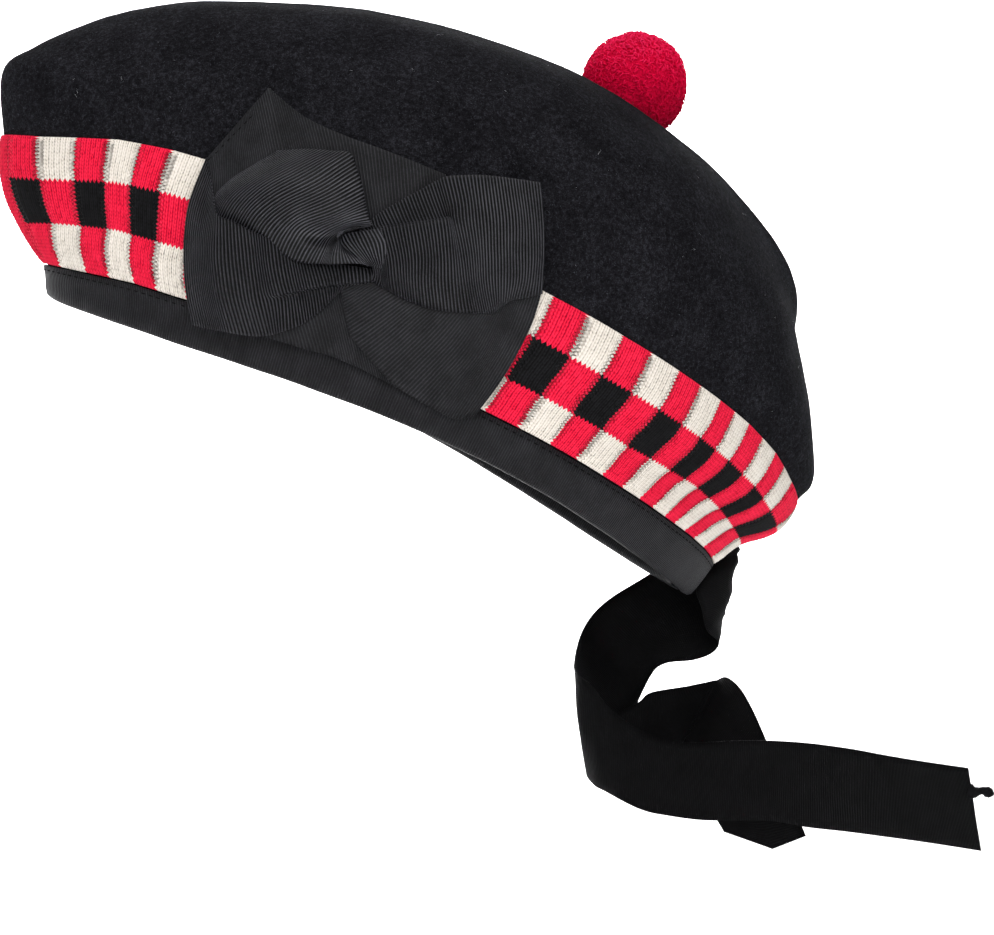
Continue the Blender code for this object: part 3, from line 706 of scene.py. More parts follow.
def makeBand():
    spec = bandSpec
    wales = [spec["sliverWales"]] + [spec["wales"]] * (len(checkEnds) - 1)
    edges = np.concatenate([[0], np.cumsum(wales)]) * sampling["perWale"]
    perSide = int(edges[-1])
    ends = np.array([(0.0,) * 4, *checkEnds])
    half = readRows(np.arange(perSide + 1), edges, ends).T
    lineShares = np.concatenate([-half[:, :0:-1], half], axis=1)
    lines = lineHeights(np.abs(lineShares))
    subRows = 3 * spec["coursesPerRow"] * 2
    i = np.arange(subRows + 1)
    line = i * 3 / subRows
    heights = readRows(line, np.arange(4), lines)
    shares = readRows(line, np.arange(4), lineShares)
    points, outs = wallGrid(heights, shares)
    rows, columns = heights.shape
    flat = points[::spec["backEvery"]] + outs[::spec["backEvery"]] * spec["seat"]
    j = np.arange(columns) - perSide
    phase = np.abs(j) % sampling["perWale"]
    rise = np.gradient(points, axis=0)
    run = np.gradient(points, axis=1)
    edgeFade = np.clip(np.minimum(i, rows - 1 - i) / spec["leanFade"], 0, 1)
    # stitch legs lean up and out from the middle of each wale
    lean = stitchLean[phase] * spec["lift"]
    points = points + rise * (lean[None, :, None] * edgeFade[:, None, None])
    # stitches differ a little from each other
    courses = i // 2
    tableShape = (rows // 2 + 2, columns // sampling["perWale"] + 3)
    jitter = rng.normal(size=tableShape) * spec["unevenness"]
    sideways = rng.normal(size=tableShape) * spec["unevenness"]
    waleOfColumn = (np.arange(columns) // sampling["perWale"])[None]
    teeth = toothShifts(edges, perSide, subRows)
    teeth = np.concatenate([teeth[:, :0:-1], -teeth], axis=1)
    wobble = sideways[courses[:, None], waleOfColumn] * spec["wander"] + teeth
    inner = ((np.arange(columns) > 0) & (np.arange(columns) < columns - 1) & (j != 0))[None]
    points = points + run * (wobble * inner)[..., None]
    height = spec["crest"] * stitchRelief[(i % 2)[:, None], phase[None]]
    height = height * (1 + jitter[courses[:, None], waleOfColumn])
    # the long stitches of a tooth lie flat
    height = height * (1 - spec["toothSink"] * np.clip(np.abs(teeth).max(axis=0) / 4, 0, 1))
    height = height + spec["bulge"] * np.sin(math.pi * i / (rows - 1))[:, None]
    for edge, share in edgeRelief:
        height[edge] = height[edge] * share
    places = [at % rows for at, _ in edgeThickness]
    base = spec["base"] * np.interp(i, places, [share for _, share in edgeThickness])[:, None]
    skin = points + outs * (spec["seat"] + base + height)[..., None]
    # painted shade in the holes and between the wales and painted light on the legs, with a random tone per
    # stitch
    tone = rng.normal(size=tableShape) * spec["tone"]
    shade = stitchShade[(i % 2)[:, None], phase[None]] + tone[courses[:, None], waleOfColumn]
    colours = checkColours(edges, perSide, rows - 1)
    left, right = slice(0, perSide + 1), slice(perSide, None)
    makeBandHalf("diced_band_left", skin[:, left], flat[:, left], shade[:, left], colours[:, ::-1])
    makeBandHalf("diced_band_right", skin[:, right], flat[:, right], shade[:, right], colours)


makeBand()
print("band made")


# Grosgrain binding folded over the felt's lower edge and stitched through
bindingSpec = {"ribPitch": 0.8 * mm, "ribHeight": 0.06 * mm, "wall": 0.6 * mm, "lift": 0.75 * mm,
               "puff": 0.35 * mm, "upRows": 5, "turnSteps": 4, "wave": 0.25 * mm, "wavesPerPoint": 0.011,
               "belowBand": 0.6 * mm, "stitch": 1.7 * mm, "stitchGap": 1.0 * mm, "thread": 0.20 * mm,
               "stitchRow": 0.42}
# a stitch's thread at its five points: how deep it lies, and how thick it is, in threads
stitchDip = np.array([1.1, 0.1, 0.0, 0.1, 1.1])
stitchThickness = np.array([0.5, 0.9, 1.0, 0.9, 0.5])


def ribWave(count):
    # 1 on the crests of the ribs and 0 between them, for each line of points
    return 0.5 + 0.5 * np.cos(2 * math.pi * np.arange(count) / sampling["perRib"])


def stitchRow(line, outs, long, gap, thick):
    # a running stitch along a line: short threads that dip in at both ends
    run = runAlong(line)
    paths = []
    at = gap
    while at < run[-1] - long - gap:
        reach = at + long * (1 + rng.normal() * 0.07) * np.linspace(0, 1, 5)
        away = readRows(reach, run, outs) * (0.3 * thick - stitchDip * thick)[:, None]
        paths.append(readRows(reach, run, line) + away)
        at += long + gap * (1 + rng.normal() * 0.15)
    middle = readRows(0.5 * run[-1], run, outs)
    return tubes(np.array(paths), stitchThickness * thick, 5, middle)


def makeBinding():
    spec = bindingSpec
    probe, _ = capSheet(levelAt(np.array([0.0, 5.0]) * mm), np.linspace(0, 1, 601))
    length = runAlong(probe[0])[-1]
    ribs = int(length / spec["ribPitch"])
    half = np.linspace(0, 1, ribs * sampling["perRib"] // 2 + 1)
    columns = 2 * len(half) - 1
    share = np.concatenate([-half[:0:-1], half])[None]
    top = lineHeights(np.abs(share[[0] * 4]))[0] - spec["belowBand"]
    points, outs = wallGrid(np.linspace(0, 1, spec["upRows"])[:, None] * top[None], share)
    along = np.arange(columns)
    rib = ribWave(columns)
    waves = [noise.noise(Vector((x * spec["wavesPerPoint"], 3.1, 0))) for x in along]
    waveLine = np.array(waves) * spec["wave"]
    up = unit(points[1] - points[0])
    wall, felt = spec["wall"], cap["feltWall"]
    middle = points[0] - outs[0] * (felt / 2)

    def section(inset, ribbed):
        # outer face down, round the fold, inner face up
        line = []
        extra = rib * spec["ribHeight"] * ribbed + waveLine
        for k in range(spec["upRows"] - 1, 0, -1):
            swell = spec["puff"] * math.sin(math.pi * k / (spec["upRows"] - 1)) ** 0.7
            away = spec["lift"] + swell + wall - inset
            line.append(points[k] + outs[k] * (away + extra)[:, None])
        for k in range(spec["turnSteps"] + 1):
            turn = math.pi * k / spec["turnSteps"]
            reach = felt / 2 + spec["lift"] + wall - inset + extra
            drop = spec["lift"] + wall - inset + extra
            line.append(middle + outs[0] * (reach * math.cos(turn))[:, None]
                        - up * (drop * math.sin(turn))[:, None])
        for k in range(1, spec["upRows"]):
            line.append(points[k] - outs[k] * (felt + spec["lift"] + wall - inset + extra)[:, None])
        return line

    outer = section(0.0, 1.0)
    inner = section(wall, 0.0)[::-1]
    loop = np.array(outer + inner)
    count = len(loop)
    verts = loop.transpose(1, 0, 2).reshape(-1, 3)
    a = np.arange(columns - 1)[:, None] * count
    k = np.arange(count)[None]
    n = (k + 1) % count
    faces = np.stack([a + k, a + n, a + count + n, a + count + k], -1).reshape(-1, 4)
    faces = [tuple(f) for f in faces] + [tuple(range(count))[::-1],
                                         tuple((columns - 1) * count + np.arange(count))]
    item = makeMesh("grosgrain_rim_binding", toWorld(verts), faces, [bindingRibbon])
    work = bmesh.new()
    work.from_mesh(item.data)
    bmesh.ops.recalc_face_normals(work, faces=work.faces)
    work.to_mesh(item.data)
    work.free()
    u = np.repeat(along / sampling["perRib"] * spec["ribPitch"], count)
    v = np.tile(np.arange(count) * mm, columns)
    setUV(item, np.stack([u, v], 1))
    place(item, "grosgrain", "rim_binding")
    round(meshArea(item) / 2 / length, 4)
    # running stitch close under the band
    row = spec["upRows"] - 1
    away = spec["lift"] + wall + spec["puff"] * 0.4 + spec["ribHeight"]
    line = mix(points[row], points[row - 1], spec["stitchRow"]) + outs[row] * away
    verts, faces = stitchRow(line, outs[row], spec["stitch"], spec["stitchGap"], spec["thread"])
    item = makeMesh("binding_stitches", toWorld(verts), faces, [thread])
    place(item, "grosgrain")


makeBinding()
print("binding made")


# Cockade. Each row of a table is a rib line of the ribbon, from its upper to its lower edge, as
# places picked on a close-up: column, row, and height above the wall in mm. A hem stitch is given
# by its length, the gap after it and its thread's radius.
bowSpec = {"backFromFront": 71.7 * mm, "aboveRim": 38.2 * mm, "turn": 8.5, "nearY": -75 * mm,
           "closingSteps": 12, "closingShare": 0.8, "ribPitch": 1.05 * mm, "ribHeight": 0.20 * mm,
           "flatRibHeight": 0.09 * mm, "wall": 0.45 * mm, "acrossSteps": 28, "crumpleSize": 7,
           "stitches": (1.5 * mm, 1.0 * mm, 0.13 * mm), "hemFromEnd": 9, "edgeShare": 0.36,
           "edgeInset": 0.9, "shortest": 12 * mm}
bowBacking = (
    ((112, 300, 1.0), (52, 500, 1.0), (20, 720, 1.0), (50, 985, 1.0)),
    ((165, 240, 1.0), (150, 500, 1.0), (150, 760, 1.0), (170, 1015, 1.0)),
    ((235, 160, 1.0), (260, 460, 1.0), (300, 760, 1.0), (350, 1042, 1.0)),
    ((300, 85, 1.0), (370, 430, 1.0), (430, 770, 1.0), (520, 1092, 1.0)),
    ((345, 36, 1.1), (425, 400, 1.0), (510, 760, 1.0), (600, 1112, 1.0)),
    ((368, 12, 1.2), (460, 385, 1.0), (550, 760, 1.0), (640, 1126, 1.0)),
    ((396, 38, 1.2), (490, 400, 1.0), (580, 770, 1.0), (668, 1138, 1.0)),
    ((520, 135, 1.2), (600, 440, 1.0), (680, 790, 1.0), (780, 1188, 1.0)),
    ((690, 212, 1.2), (740, 500, 1.0), (800, 850, 1.0), (900, 1252, 1.0)),
    ((850, 270, 1.2), (880, 560, 1.0), (930, 900, 1.0), (1020, 1318, 1.0)),
    ((1000, 330, 1.2), (1030, 620, 1.0), (1070, 950, 1.0), (1130, 1378, 1.0)),
    ((1095, 368, 1.2), (1150, 640, 1.0), (1190, 960, 1.0), (1212, 1368, 1.0)),
)
bowLowerLobe = (
    ((108, 302, 1.4), (40, 480, 2.0), (17, 650, 2.4), (22, 830, 2.4), (52, 990, 1.6)),
    ((128, 400, 2.4), (82, 560, 4.4), (72, 700, 5.0), (85, 850, 4.4), (120, 1006, 2.2)),
    ((150, 528, 6.4), (146, 620, 6.2), (145, 720, 6.6), (162, 860, 5.6), (205, 1022, 2.6)),
    ((215, 560, 7.6), (220, 650, 7.0), (228, 750, 7.4), (247, 880, 6.0), (290, 1035, 2.8)),
    ((290, 600, 8.0), (300, 690, 7.2), (310, 780, 7.4), (330, 900, 5.6), (365, 1034, 2.8)),
    ((360, 630, 7.4), (375, 760, 7.6), (400, 864, 6.4), (418, 882, 3.6), (430, 1016, 2.4)),
    ((430, 660, 6.2), (450, 775, 6.8), (468, 850, 6.4), (480, 866, 3.2), (500, 990, 2.2)),
    ((500, 700, 4.2), (520, 785, 6.4), (535, 838, 6.4), (545, 852, 3.0), (560, 950, 2.0)),
    ((570, 725, 4.0), (590, 790, 6.2), (600, 826, 6.2), (606, 840, 3.0), (615, 900, 2.0)),
    ((650, 740, 4.0), (660, 790, 6.0), (664, 818, 6.0), (668, 828, 3.2), (655, 858, 2.2)),
    ((730, 750, 4.0), (735, 780, 5.6), (738, 812, 5.6), (738, 820, 3.4), (715, 838, 2.4)),
    ((800, 762, 4.0), (806, 782, 5.4), (808, 800, 5.4), (806, 812, 3.6), (775, 832, 2.6)),
)
bowUpperLoop = (
    ((60, 560, 2.6), (100, 430, 3.2), (240, 295, 3.2), (440, 170, 2.4), (640, 50, 1.8)),
    ((90, 680, 3.2), (190, 480, 6.2), (370, 325, 6.6), (640, 165, 5.0), (900, 35, 2.6)),
    ((210, 740, 3.6), (310, 540, 8.0), (500, 365, 9.0), (800, 200, 8.0), (1100, 50, 4.0)),
    ((330, 790, 4.0), (420, 610, 8.8), (610, 450, 10.2), (930, 280, 10.0), (1265, 70, 5.6)),
    ((450, 850, 4.6), (530, 690, 9.2), (710, 540, 10.6), (1020, 390, 11.0), (1320, 205, 7.4)),
    ((570, 910, 5.6), (640, 765, 9.0), (790, 620, 10.2), (1090, 485, 11.2), (1365, 335, 8.0)),
    ((680, 960, 6.6), (735, 830, 8.8), (845, 695, 8.8), (1130, 585, 10.6), (1390, 455, 8.2)),
    ((780, 1010, 6.8), (845, 880, 9.0), (945, 755, 7.0), (1180, 645, 9.6), (1410, 555, 8.0)),
    ((880, 1030, 7.0), (950, 905, 9.2), (1050, 785, 6.0), (1230, 690, 8.0), (1430, 645, 7.4)),
    ((990, 1035, 7.0), (1040, 925, 9.4), (1105, 805, 6.2), (1260, 722, 5.4), (1440, 705, 6.2)),
    ((1100, 1040, 7.0), (1115, 940, 9.4), (1150, 835, 7.6), (1165, 775, 5.8), (1195, 740, 4.4)),
    ((1200, 1036, 7.0), (1188, 965, 9.0), (1178, 880, 8.0), (1168, 815, 6.4), (1163, 785, 4.8)),
    ((1330, 1032, 7.0), (1290, 985, 8.4), (1240, 930, 7.6), (1192, 880, 6.2), (1172, 850, 4.8)),
    ((1410, 1050, 6.8), (1370, 1010, 7.8), (1310, 950, 7.0), (1252, 900, 5.4), (1205, 872, 4.6)),
)
bowRightWing = (
    ((690, 618, 4.6), (735, 655, 6.2), (770, 700, 7.0), (790, 740, 7.2), (800, 775, 6.6), (792, 806, 5.2)),
    ((740, 600, 4.0), (791, 640, 6.4), (815, 700, 8.2), (830, 760, 8.2), (835, 800, 7.2), (828, 832, 5.2)),
    ((800, 545, 3.4), (812, 586, 4.4), (822, 600, 7.2), (850, 700, 9.4), (860, 790, 8.4), (868, 852, 5.2)),
    ((835, 520, 3.4), (862, 576, 4.2), (868, 592, 7.8), (895, 700, 10.4), (905, 800, 9.2), (915, 878, 5.0)),
    ((891.5, 486, 3.4), (924, 566, 4.0), (930, 582, 8.0), (950, 700, 10.8), (955, 810, 9.4), (965, 900, 4.8)),
    ((945, 456, 3.4), (984, 557, 3.8), (989, 573, 8.0),
     (1010, 700, 10.6), (1010, 820, 9.0), (1020, 920, 4.6)),
    ((1000, 426, 3.2), (1046.5, 548, 3.8), (1050, 564, 7.8),
     (1068, 700, 10.0), (1070, 820, 8.4), (1082, 932, 4.4)),
    ((1050, 398, 3.2), (1096, 538, 4.0), (1105.5, 556, 7.4),
     (1122, 700, 9.4), (1128, 820, 7.8), (1140, 938, 4.2)),
    ((1095, 378, 3.4), (1124, 500, 5.4), (1130, 550, 6.8),
     (1160, 700, 8.6), (1175, 820, 7.2), (1195, 941, 4.0)),
    ((1165, 372, 3.6), (1185, 480, 5.8), (1196, 580, 6.8),
     (1212, 700, 8.0), (1222, 820, 6.8), (1245, 943, 3.8)),
    ((1235, 371, 3.4), (1248, 480, 5.4), (1259, 580, 6.2),
     (1265, 700, 7.2), (1270, 820, 6.2), (1290, 942, 3.6)),
    ((1300, 376, 3.2), (1315, 480, 4.8), (1325, 580, 5.4),
     (1327, 700, 6.2), (1328, 810, 5.6), (1325, 918, 3.6)),
    ((1365, 384, 2.8), (1380, 480, 4.0), (1390, 590, 4.6),
     (1389, 700, 5.0), (1390, 800, 4.6), (1372, 888, 3.4)),
    ((1430, 393, 2.4), (1442, 490, 3.2), (1452, 600, 3.6),
     (1455.5, 700, 3.8), (1450, 790, 3.6), (1435, 878, 3.0)),
    ((1488, 403, 1.8), (1497, 500, 2.2), (1503, 600, 2.4),
     (1503, 700, 2.4), (1498.5, 780, 2.2), (1494, 862, 2.0)),
)
bowEndPanel = (
    ((662, 842, 2.6), (690, 832, 3.0), (720, 820, 3.2), (750, 812, 3.2)),
    ((678, 930, 2.2), (740, 890, 3.0), (800, 850, 3.6), (860, 815, 3.6)),
    ((700, 1030, 2.0), (790, 970, 2.8), (880, 905, 3.4), (960, 850, 3.4)),
    ((760, 1105, 2.0), (850, 1035, 2.8), (940, 960, 3.2), (1040, 880, 3.2)),
    ((825, 1180, 2.0), (920, 1095, 2.6), (1015, 1005, 3.0), (1115, 905, 3.0)),
    ((900, 1250, 2.0), (1000, 1150, 2.4), (1100, 1050, 2.8), (1200, 925, 2.8)),
    ((975, 1297, 2.0), (1080, 1185, 2.4), (1180, 1070, 2.6), (1280, 910, 2.6)),
    ((1055, 1342, 2.0), (1150, 1220, 2.4), (1250, 1090, 2.6), (1350, 880, 2.2)),
    ((1130, 1376, 2.0), (1225, 1230, 2.4), (1330, 1060, 2.6), (1430, 810, 1.8)),
    ((1180, 1376, 2.0), (1292, 1205, 2.2), (1400, 1010, 2.3), (1478, 790, 1.6)),
    ((1222, 1360, 2.0), (1345, 1190, 2.2), (1452, 985, 2.1), (1506, 790, 1.5)),
)
bowKnot = (
    ((1180, 800, 4.6), (1200, 870, 6.0), (1290, 960, 7.2), (1420, 1050, 7.6)),
    ((1230, 775, 5.6), (1270, 850, 7.6), (1350, 950, 8.6), (1450, 1055, 8.0)),
    ((1300, 760, 6.4), (1340, 850, 8.6), (1410, 960, 9.2), (1475, 1060, 8.2)),
    ((1380, 750, 7.0), (1430, 850, 9.0), (1470, 960, 9.4), (1510, 1068, 8.2)),
    ((1470, 735, 7.2), (1530, 850, 9.2), (1545, 960, 9.4), (1555, 1080, 8.2)),
    ((1570, 720, 7.0), (1640, 850, 9.0), (1630, 980, 9.0), (1610, 1092, 8.0)),
)


def nodeTree(*names):
    # ray tree of some CAD nodes
    points, faces = [], []
    for name in names:
        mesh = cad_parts[name].data
        start = len(points)
        points += [v.co.copy() for v in mesh.vertices]
        faces += [tuple(start + k for k in p.vertices) for p in mesh.polygons]
    return BVHTree.FromPolygons(points, faces)


# the outermost left wall under the cockade, as seen square on from the left, in the level cap
wallSpec = {"step": 2 * mm, "lowX": -112 * mm, "lowZ": -4 * mm, "columns": 66, "rows": 60,
            "reach": 3, "smoothings": 8, "from": -300 * mm}


def makeWallTable():
    spec = wallSpec
    tree = nodeTree("crown", "diced_band", "rim_binding")
    toRight = Vector((0, 1, 0))
    table = np.zeros((spec["columns"], spec["rows"]))
    for i in range(spec["columns"]):
        for k in range(spec["rows"]):
            x, z = spec["lowX"] + i * spec["step"], spec["lowZ"] + k * spec["step"]
            hit = tree.ray_cast(tilt @ Vector((x, spec["from"], z)), toRight)[0]
            table[i, k] = hit.y if hit else 0
    # nothing of the wall stands out past the smoothed one
    reach, wide = spec["reach"], table.copy()
    for i in range(spec["columns"]):
        for k in range(spec["rows"]):
            near = table[max(i - reach, 0):i + reach + 1, max(k - reach, 0):k + reach + 1]
            wide[i, k] = near.min()
    for _ in range(spec["smoothings"]):
        around = wide[:-2, 1:-1] + wide[2:, 1:-1] + wide[1:-1, :-2] + wide[1:-1, 2:]
        wide[1:-1, 1:-1] = (wide[1:-1, 1:-1] * 2 + around) / 6
    return wide


wallTable = makeWallTable()


def wallAt(x, z):
    t = wallTable
    across = np.clip((x - wallSpec["lowX"]) / wallSpec["step"], 0, t.shape[0] - 1.001)
    up = np.clip((z - wallSpec["lowZ"]) / wallSpec["step"], 0, t.shape[1] - 1.001)
    i, k = across.astype(int), up.astype(int)
    f, g = across - i, up - k
    return mix(mix(t[i, k], t[i + 1, k], f), mix(t[i, k + 1], t[i + 1, k + 1], f), g)


def bowSpots(picks, closeUp):
    # picks as along, up and lift in mm, from the knot, as if the cockade lay flat
    rays = photoRays(picks, closeUp) @ tiltRows
    start = np.array(view["place"]) @ tiltRows
    reach = (bowSpec["nearY"] - start[1]) / rays[..., 1]
    for _ in range(bowSpec["closingSteps"]):
        spots = start + rays * reach[..., None]
        wanted = wallAt(spots[..., 0], spots[..., 2]) - picks[..., 2] * mm
        reach = reach + bowSpec["closingShare"] * (wanted - spots[..., 1]) / rays[..., 1]
    turn = math.radians(bowSpec["turn"])
    x = (spots[..., 0] + cap["rimLength"] / 2 - bowSpec["backFromFront"]) / mm
    z = (spots[..., 2] - cap["rimArch"] - bowSpec["aboveRim"]) / mm
    return np.stack([x * math.cos(turn) + z * math.sin(turn),
                     z * math.cos(turn) - x * math.sin(turn), picks[..., 2]], -1)


def bowPlace(points):
    # cockade millimetres to the level cap
    turn = math.radians(bowSpec["turn"])
    along, up, lift = np.moveaxis(np.asarray(points) * mm, -1, 0)
    x = -cap["rimLength"] / 2 + bowSpec["backFromFront"] + along * math.cos(turn) - up * math.sin(turn)
    z = cap["rimArch"] + bowSpec["aboveRim"] + along * math.sin(turn) + up * math.cos(turn)
    return np.stack([x, wallAt(x, z) - lift, z], -1)


def evenLine(line, count):
    run = runAlong(line)
    return readRows(np.linspace(0, run[-1], count), run, line)


def ribbonGrid(sections, ribPitch, acrossSteps):
    # even point lines through the given rib lines, in mm, and where each lies along, in metres
    rows = np.array(sections, float)
    count, across, along = rows.shape[1], sampling["ribbonAcross"], sampling["ribbonAlong"]
    fine = smoothRows(rows.transpose(1, 0, 2).reshape(count, -1), np.linspace(0, count - 1, across))
    fine = fine.reshape(across, len(rows), 3).transpose(1, 0, 2)
    lines = np.array([evenLine(line, acrossSteps + 1) for line in fine])
    dense = smoothRows(lines.reshape(len(rows), -1), np.linspace(0, len(rows) - 1, along))
    steps = np.linalg.norm(np.diff(dense.reshape(along, -1, 3), axis=0), axis=2).max(axis=1) * mm
    run = np.concatenate([[0], np.cumsum(steps)])
    ribs = max(int(run[-1] / ribPitch), 2)
    even = np.linspace(0, run[-1], ribs * sampling["perRib"] + 1)
    return readRows(even, run, dense).reshape(len(even), -1, 3), even


def ribbonPiece(name, points, even, width, wall, offset, ribHeight, material, slot, node):
    # a ribbon of even thickness over a grid of points, its ribs as real relief
    out = outward(points)
    if out[..., 1].mean() > 0:
        out = -out
    points = points + out * (ribWave(len(even)) * ribHeight)[:, None, None]
    n, m = points.shape[:2]
    item = makeMesh(name, points.reshape(-1, 3), gridFaces(n, m), [material])
    work = bmesh.new()
    work.from_mesh(item.data)
    work.normal_update()
    if sum(f.normal.y * f.calc_area() for f in work.faces) > 0:
        bmesh.ops.reverse_faces(work, faces=work.faces)
    work.to_mesh(item.data)
    work.free()
    setUV(item, np.stack([np.repeat(even, m), np.tile(np.linspace(0, width, m), n)], 1))
    area = meshArea(item)
    applyModifier(item, "SOLIDIFY", thickness=wall, offset=offset)
    item.data.shade_smooth()
    place(item, slot, node)
    return points, out


def bowPatch(name, table, closeUp, node, width, wrinkle, ribbon):
    spec = bowSpec
    sections = bowSpots(np.array(table, float), closeUp)
    grid, even = ribbonGrid(sections, spec["ribPitch"], spec["acrossSteps"])
    crumple = np.array([[noise.noise(Vector(spot) / spec["crumpleSize"]) for spot in line]
                        for line in grid])
    grid[..., 2] += crumple * wrinkle
    points = toWorld(bowPlace(grid))
    ribHeight = spec["flatRibHeight"] if ribbon == "flat" else spec["ribHeight"]
    return ribbonPiece(name, points, even, width, spec["wall"], -1.0, ribHeight, bowRibbons[ribbon],
                       "grosgrain", node)


# name, rib lines, their close-up, CAD node, ribbon width, crumple in mm, ribbon copy by the strength of its
# painted highlight
bowPieces = (
    ("bow_backing", bowBacking, "bow", "cockade_backing", 0.050, 0.25, "flat"),
    ("bow_lower_lobe", bowLowerLobe, "bow", "cockade_left_lobe", 0.035, 0.35, "lobe"),
    ("bow_upper_loop", bowUpperLoop, "loop", "cockade_upper_loop", 0.030, 0.4, "loop"),
    ("bow_right_wing", bowRightWing, "bow", "cockade_right_wing", 0.040, 0.35, "lobe"),
    ("bow_end_panel", bowEndPanel, "bow", "cockade_end_panel", 0.035, 0.25, "flat"),
    ("bow_knot", bowKnot, "loop", "cockade_knot", 0.014, 0.3, "loop"),
)
bow = {piece[0]: bowPatch(*piece) for piece in bowPieces}


def makeBowStitches():
    # a hem of small stitches down the right end of the wing, and one along the upper left edge
    points, outs = bow["bow_right_wing"]
    column = len(points) - bowSpec["hemFromEnd"]
    verts, faces = stitchRow(points[column], outs[column], *bowSpec["stitches"])
    backPoints, backOuts = bow["bow_backing"]
    edge = int(len(backPoints) * bowSpec["edgeShare"])
    line = mix(backPoints[:edge, 0], backPoints[:edge, 1], bowSpec["edgeInset"])
    more, moreFaces = stitchRow(line, backOuts[:edge, 1], *bowSpec["stitches"])
    faces += [tuple(len(verts) + k for k in face) for face in moreFaces]
    item = makeMesh("bow_hem_stitches", np.concatenate([verts, more]), faces, [thread])
    place(item, "grosgrain")


makeBowStitches()
print("cockade made")


# Tails. Each row of a table is a rib line of the ribbon, from its front edge to its back edge, as
# places picked on the photo: column, row, and depth behind the cap's middle plane in mm.
tailSpec = {"wall": 0.5 * mm, "across": 10, "width": 0.028, "step": 1.6 * mm, "ripple": 0.5,
            "rippleSize": 22 * mm, "farPoint": 6.0, "pointReach": 9 * mm, "fuzz": 0.25 * mm,
            "fuzzSize": 0.8 * mm, "rippleAcross": 0.9, "fraySteps": 25, "fraySides": 12}
nearTail = (
    ((708, 558, -1.0), (730, 542, -1.0)),
    ((714.5, 564, -1.5), (740, 549, -1.5)),
    ((697, 587, -5), (718, 578, -5), (738, 563, 0), (728, 560, 8)),
    ((702, 609, -5), (719, 604, -4), (731, 592, 2), (700, 572, 14)),
    ((708, 631, -3), (718, 622, -1), (724, 606, 5), (688, 566, 20)),
    ((718, 642, 3), (721, 628, 6), (716, 600, 12), (675, 562, 24)),
    ((711, 653, 8), (708, 630, 12), (696, 598, 18), (660, 568, 26)),
    ((693.5, 660, 13), (683, 637, 17), (665, 608, 22), (640, 580, 28)),
    ((667, 663, 17), (655, 645, 20), (635, 620, 25), (612, 597, 29)),
    ((653, 671, 19), (638, 655, 21), (615, 636, 25), (594, 613, 27)),
    ((644, 685, 19), (626, 668, 20), (603, 650, 22), (583, 630, 22)),
    ((637, 705, 17), (618, 685, 16), (595, 667, 15), (577, 648, 13)),
    ((631, 727, 13), (610, 708, 10), (590, 688, 6), (574, 664, 3)),
    ((607, 752, 7), (592, 728, 2), (579, 700, -2), (575, 668, -4)),
    ((588, 770, 0), (581, 740, -5), (577, 712, -8), (580, 676, -9)),
    ((594, 784, -6), (590, 755, -10), (590, 725, -12), (592, 686, -13)),
    ((607, 792, -11), (606, 765, -14), (606, 735, -15), (607, 705, -15)),
    ((641, 809.5, -19), (637, 728, -13)),
    ((670, 816, -21), (664.5, 739, -14)),
    ((702, 820, -22), (695, 742.5, -17)),
    ((735, 820.5, -22), (731, 741, -20)),
    ((772, 821, -22), (768, 740.6, -22)),
    ((806, 827, -18.5), (806, 743, -22)),
    ((850, 832, -13), (851, 749, -18)),
    ((918, 841, -4), (911, 759.5, -10)),
    ((980.7, 850.7, 5.0), (968.2, 768, -0.5)),
)
farTail = (
    ((730, 542, 1.5), (708, 558, 1.5)),
    ((738, 550, 2.0), (716, 563, 2.0)),
    ((722, 588, 12), (692, 570, 12)),
    ((706, 630, 22), (664, 578, 24)),
    ((682, 650, 32), (640, 590, 33)),
    ((656, 668, 38), (618, 612, 38)),
    ((638, 700, 36), (601, 640, 38)),
    ((622, 738, 27), (592, 670, 32)),
    ((600, 770, 15), (590, 698, 21)),
    ((604, 786, 6), (600, 712, 13)),
    ((622, 788, 1), (618, 712, 8)),
    ((643, 780, 2), (639, 702, 8)),
    ((655, 770, 5), (651, 692.5, 11)),
    ((668, 760, 9), (685, 686.5, 16)),
    ((678, 750, 13), (708, 682, 20)),
    ((683, 742, 16), (717, 680, 23)),
    ((687, 748, 14), (727, 677.5, 20)),
    ((694, 762, 9), (740, 688, 13)),
    ((702, 780, 4), (753, 710, 7)),
    ((709, 800, 0), (766, 740, 2)),
    ((714, 814, -3), (786, 788, -2)),
    ((724, 832, -4), (806, 836, -3)),
)


def tailSpots(picks):
    # where picks lie, in mm
    rays = photoRays(picks, "photo")
    start = np.array(view["place"]) / mm
    return start + rays * ((picks[..., 2] - start[1]) / rays[..., 1])[..., None]


def fourPicks(row):
    # a straight rib line is given by its two ends only
    return readRows(np.linspace(0, 1, 4), np.linspace(0, 1, len(row)), row)


def makeTail(name, table, node, point, seed):
    # point is how far the cut end runs out in its middle, in mm
    spec = tailSpec
    sections = tailSpots(np.array([fourPicks(row) for row in table]))
    grid, even = ribbonGrid(sections, spec["step"], spec["across"])
    ahead = unit(np.gradient(grid, axis=0))
    v = np.linspace(-1, 1, spec["across"] + 1)
    ripple = np.array([[noise.noise(Vector((at / spec["rippleSize"], k * spec["rippleAcross"], seed)))
                        for k in v] for at in even])
    grid = grid + outward(grid) * (ripple * spec["ripple"])[..., None]
    endShare = np.clip((even - even[-1]) / spec["pointReach"] + 1, 0, 1)
    grid = grid + ahead * (endShare[:, None] * (1 - np.abs(v))[None] * point)[..., None]
    # its ribs are too fine for relief
    return ribbonPiece(name, grid * mm, even, spec["width"], spec["wall"], 0.0, 0.0, tailRibbon,
                       "tail_ribbon", node)


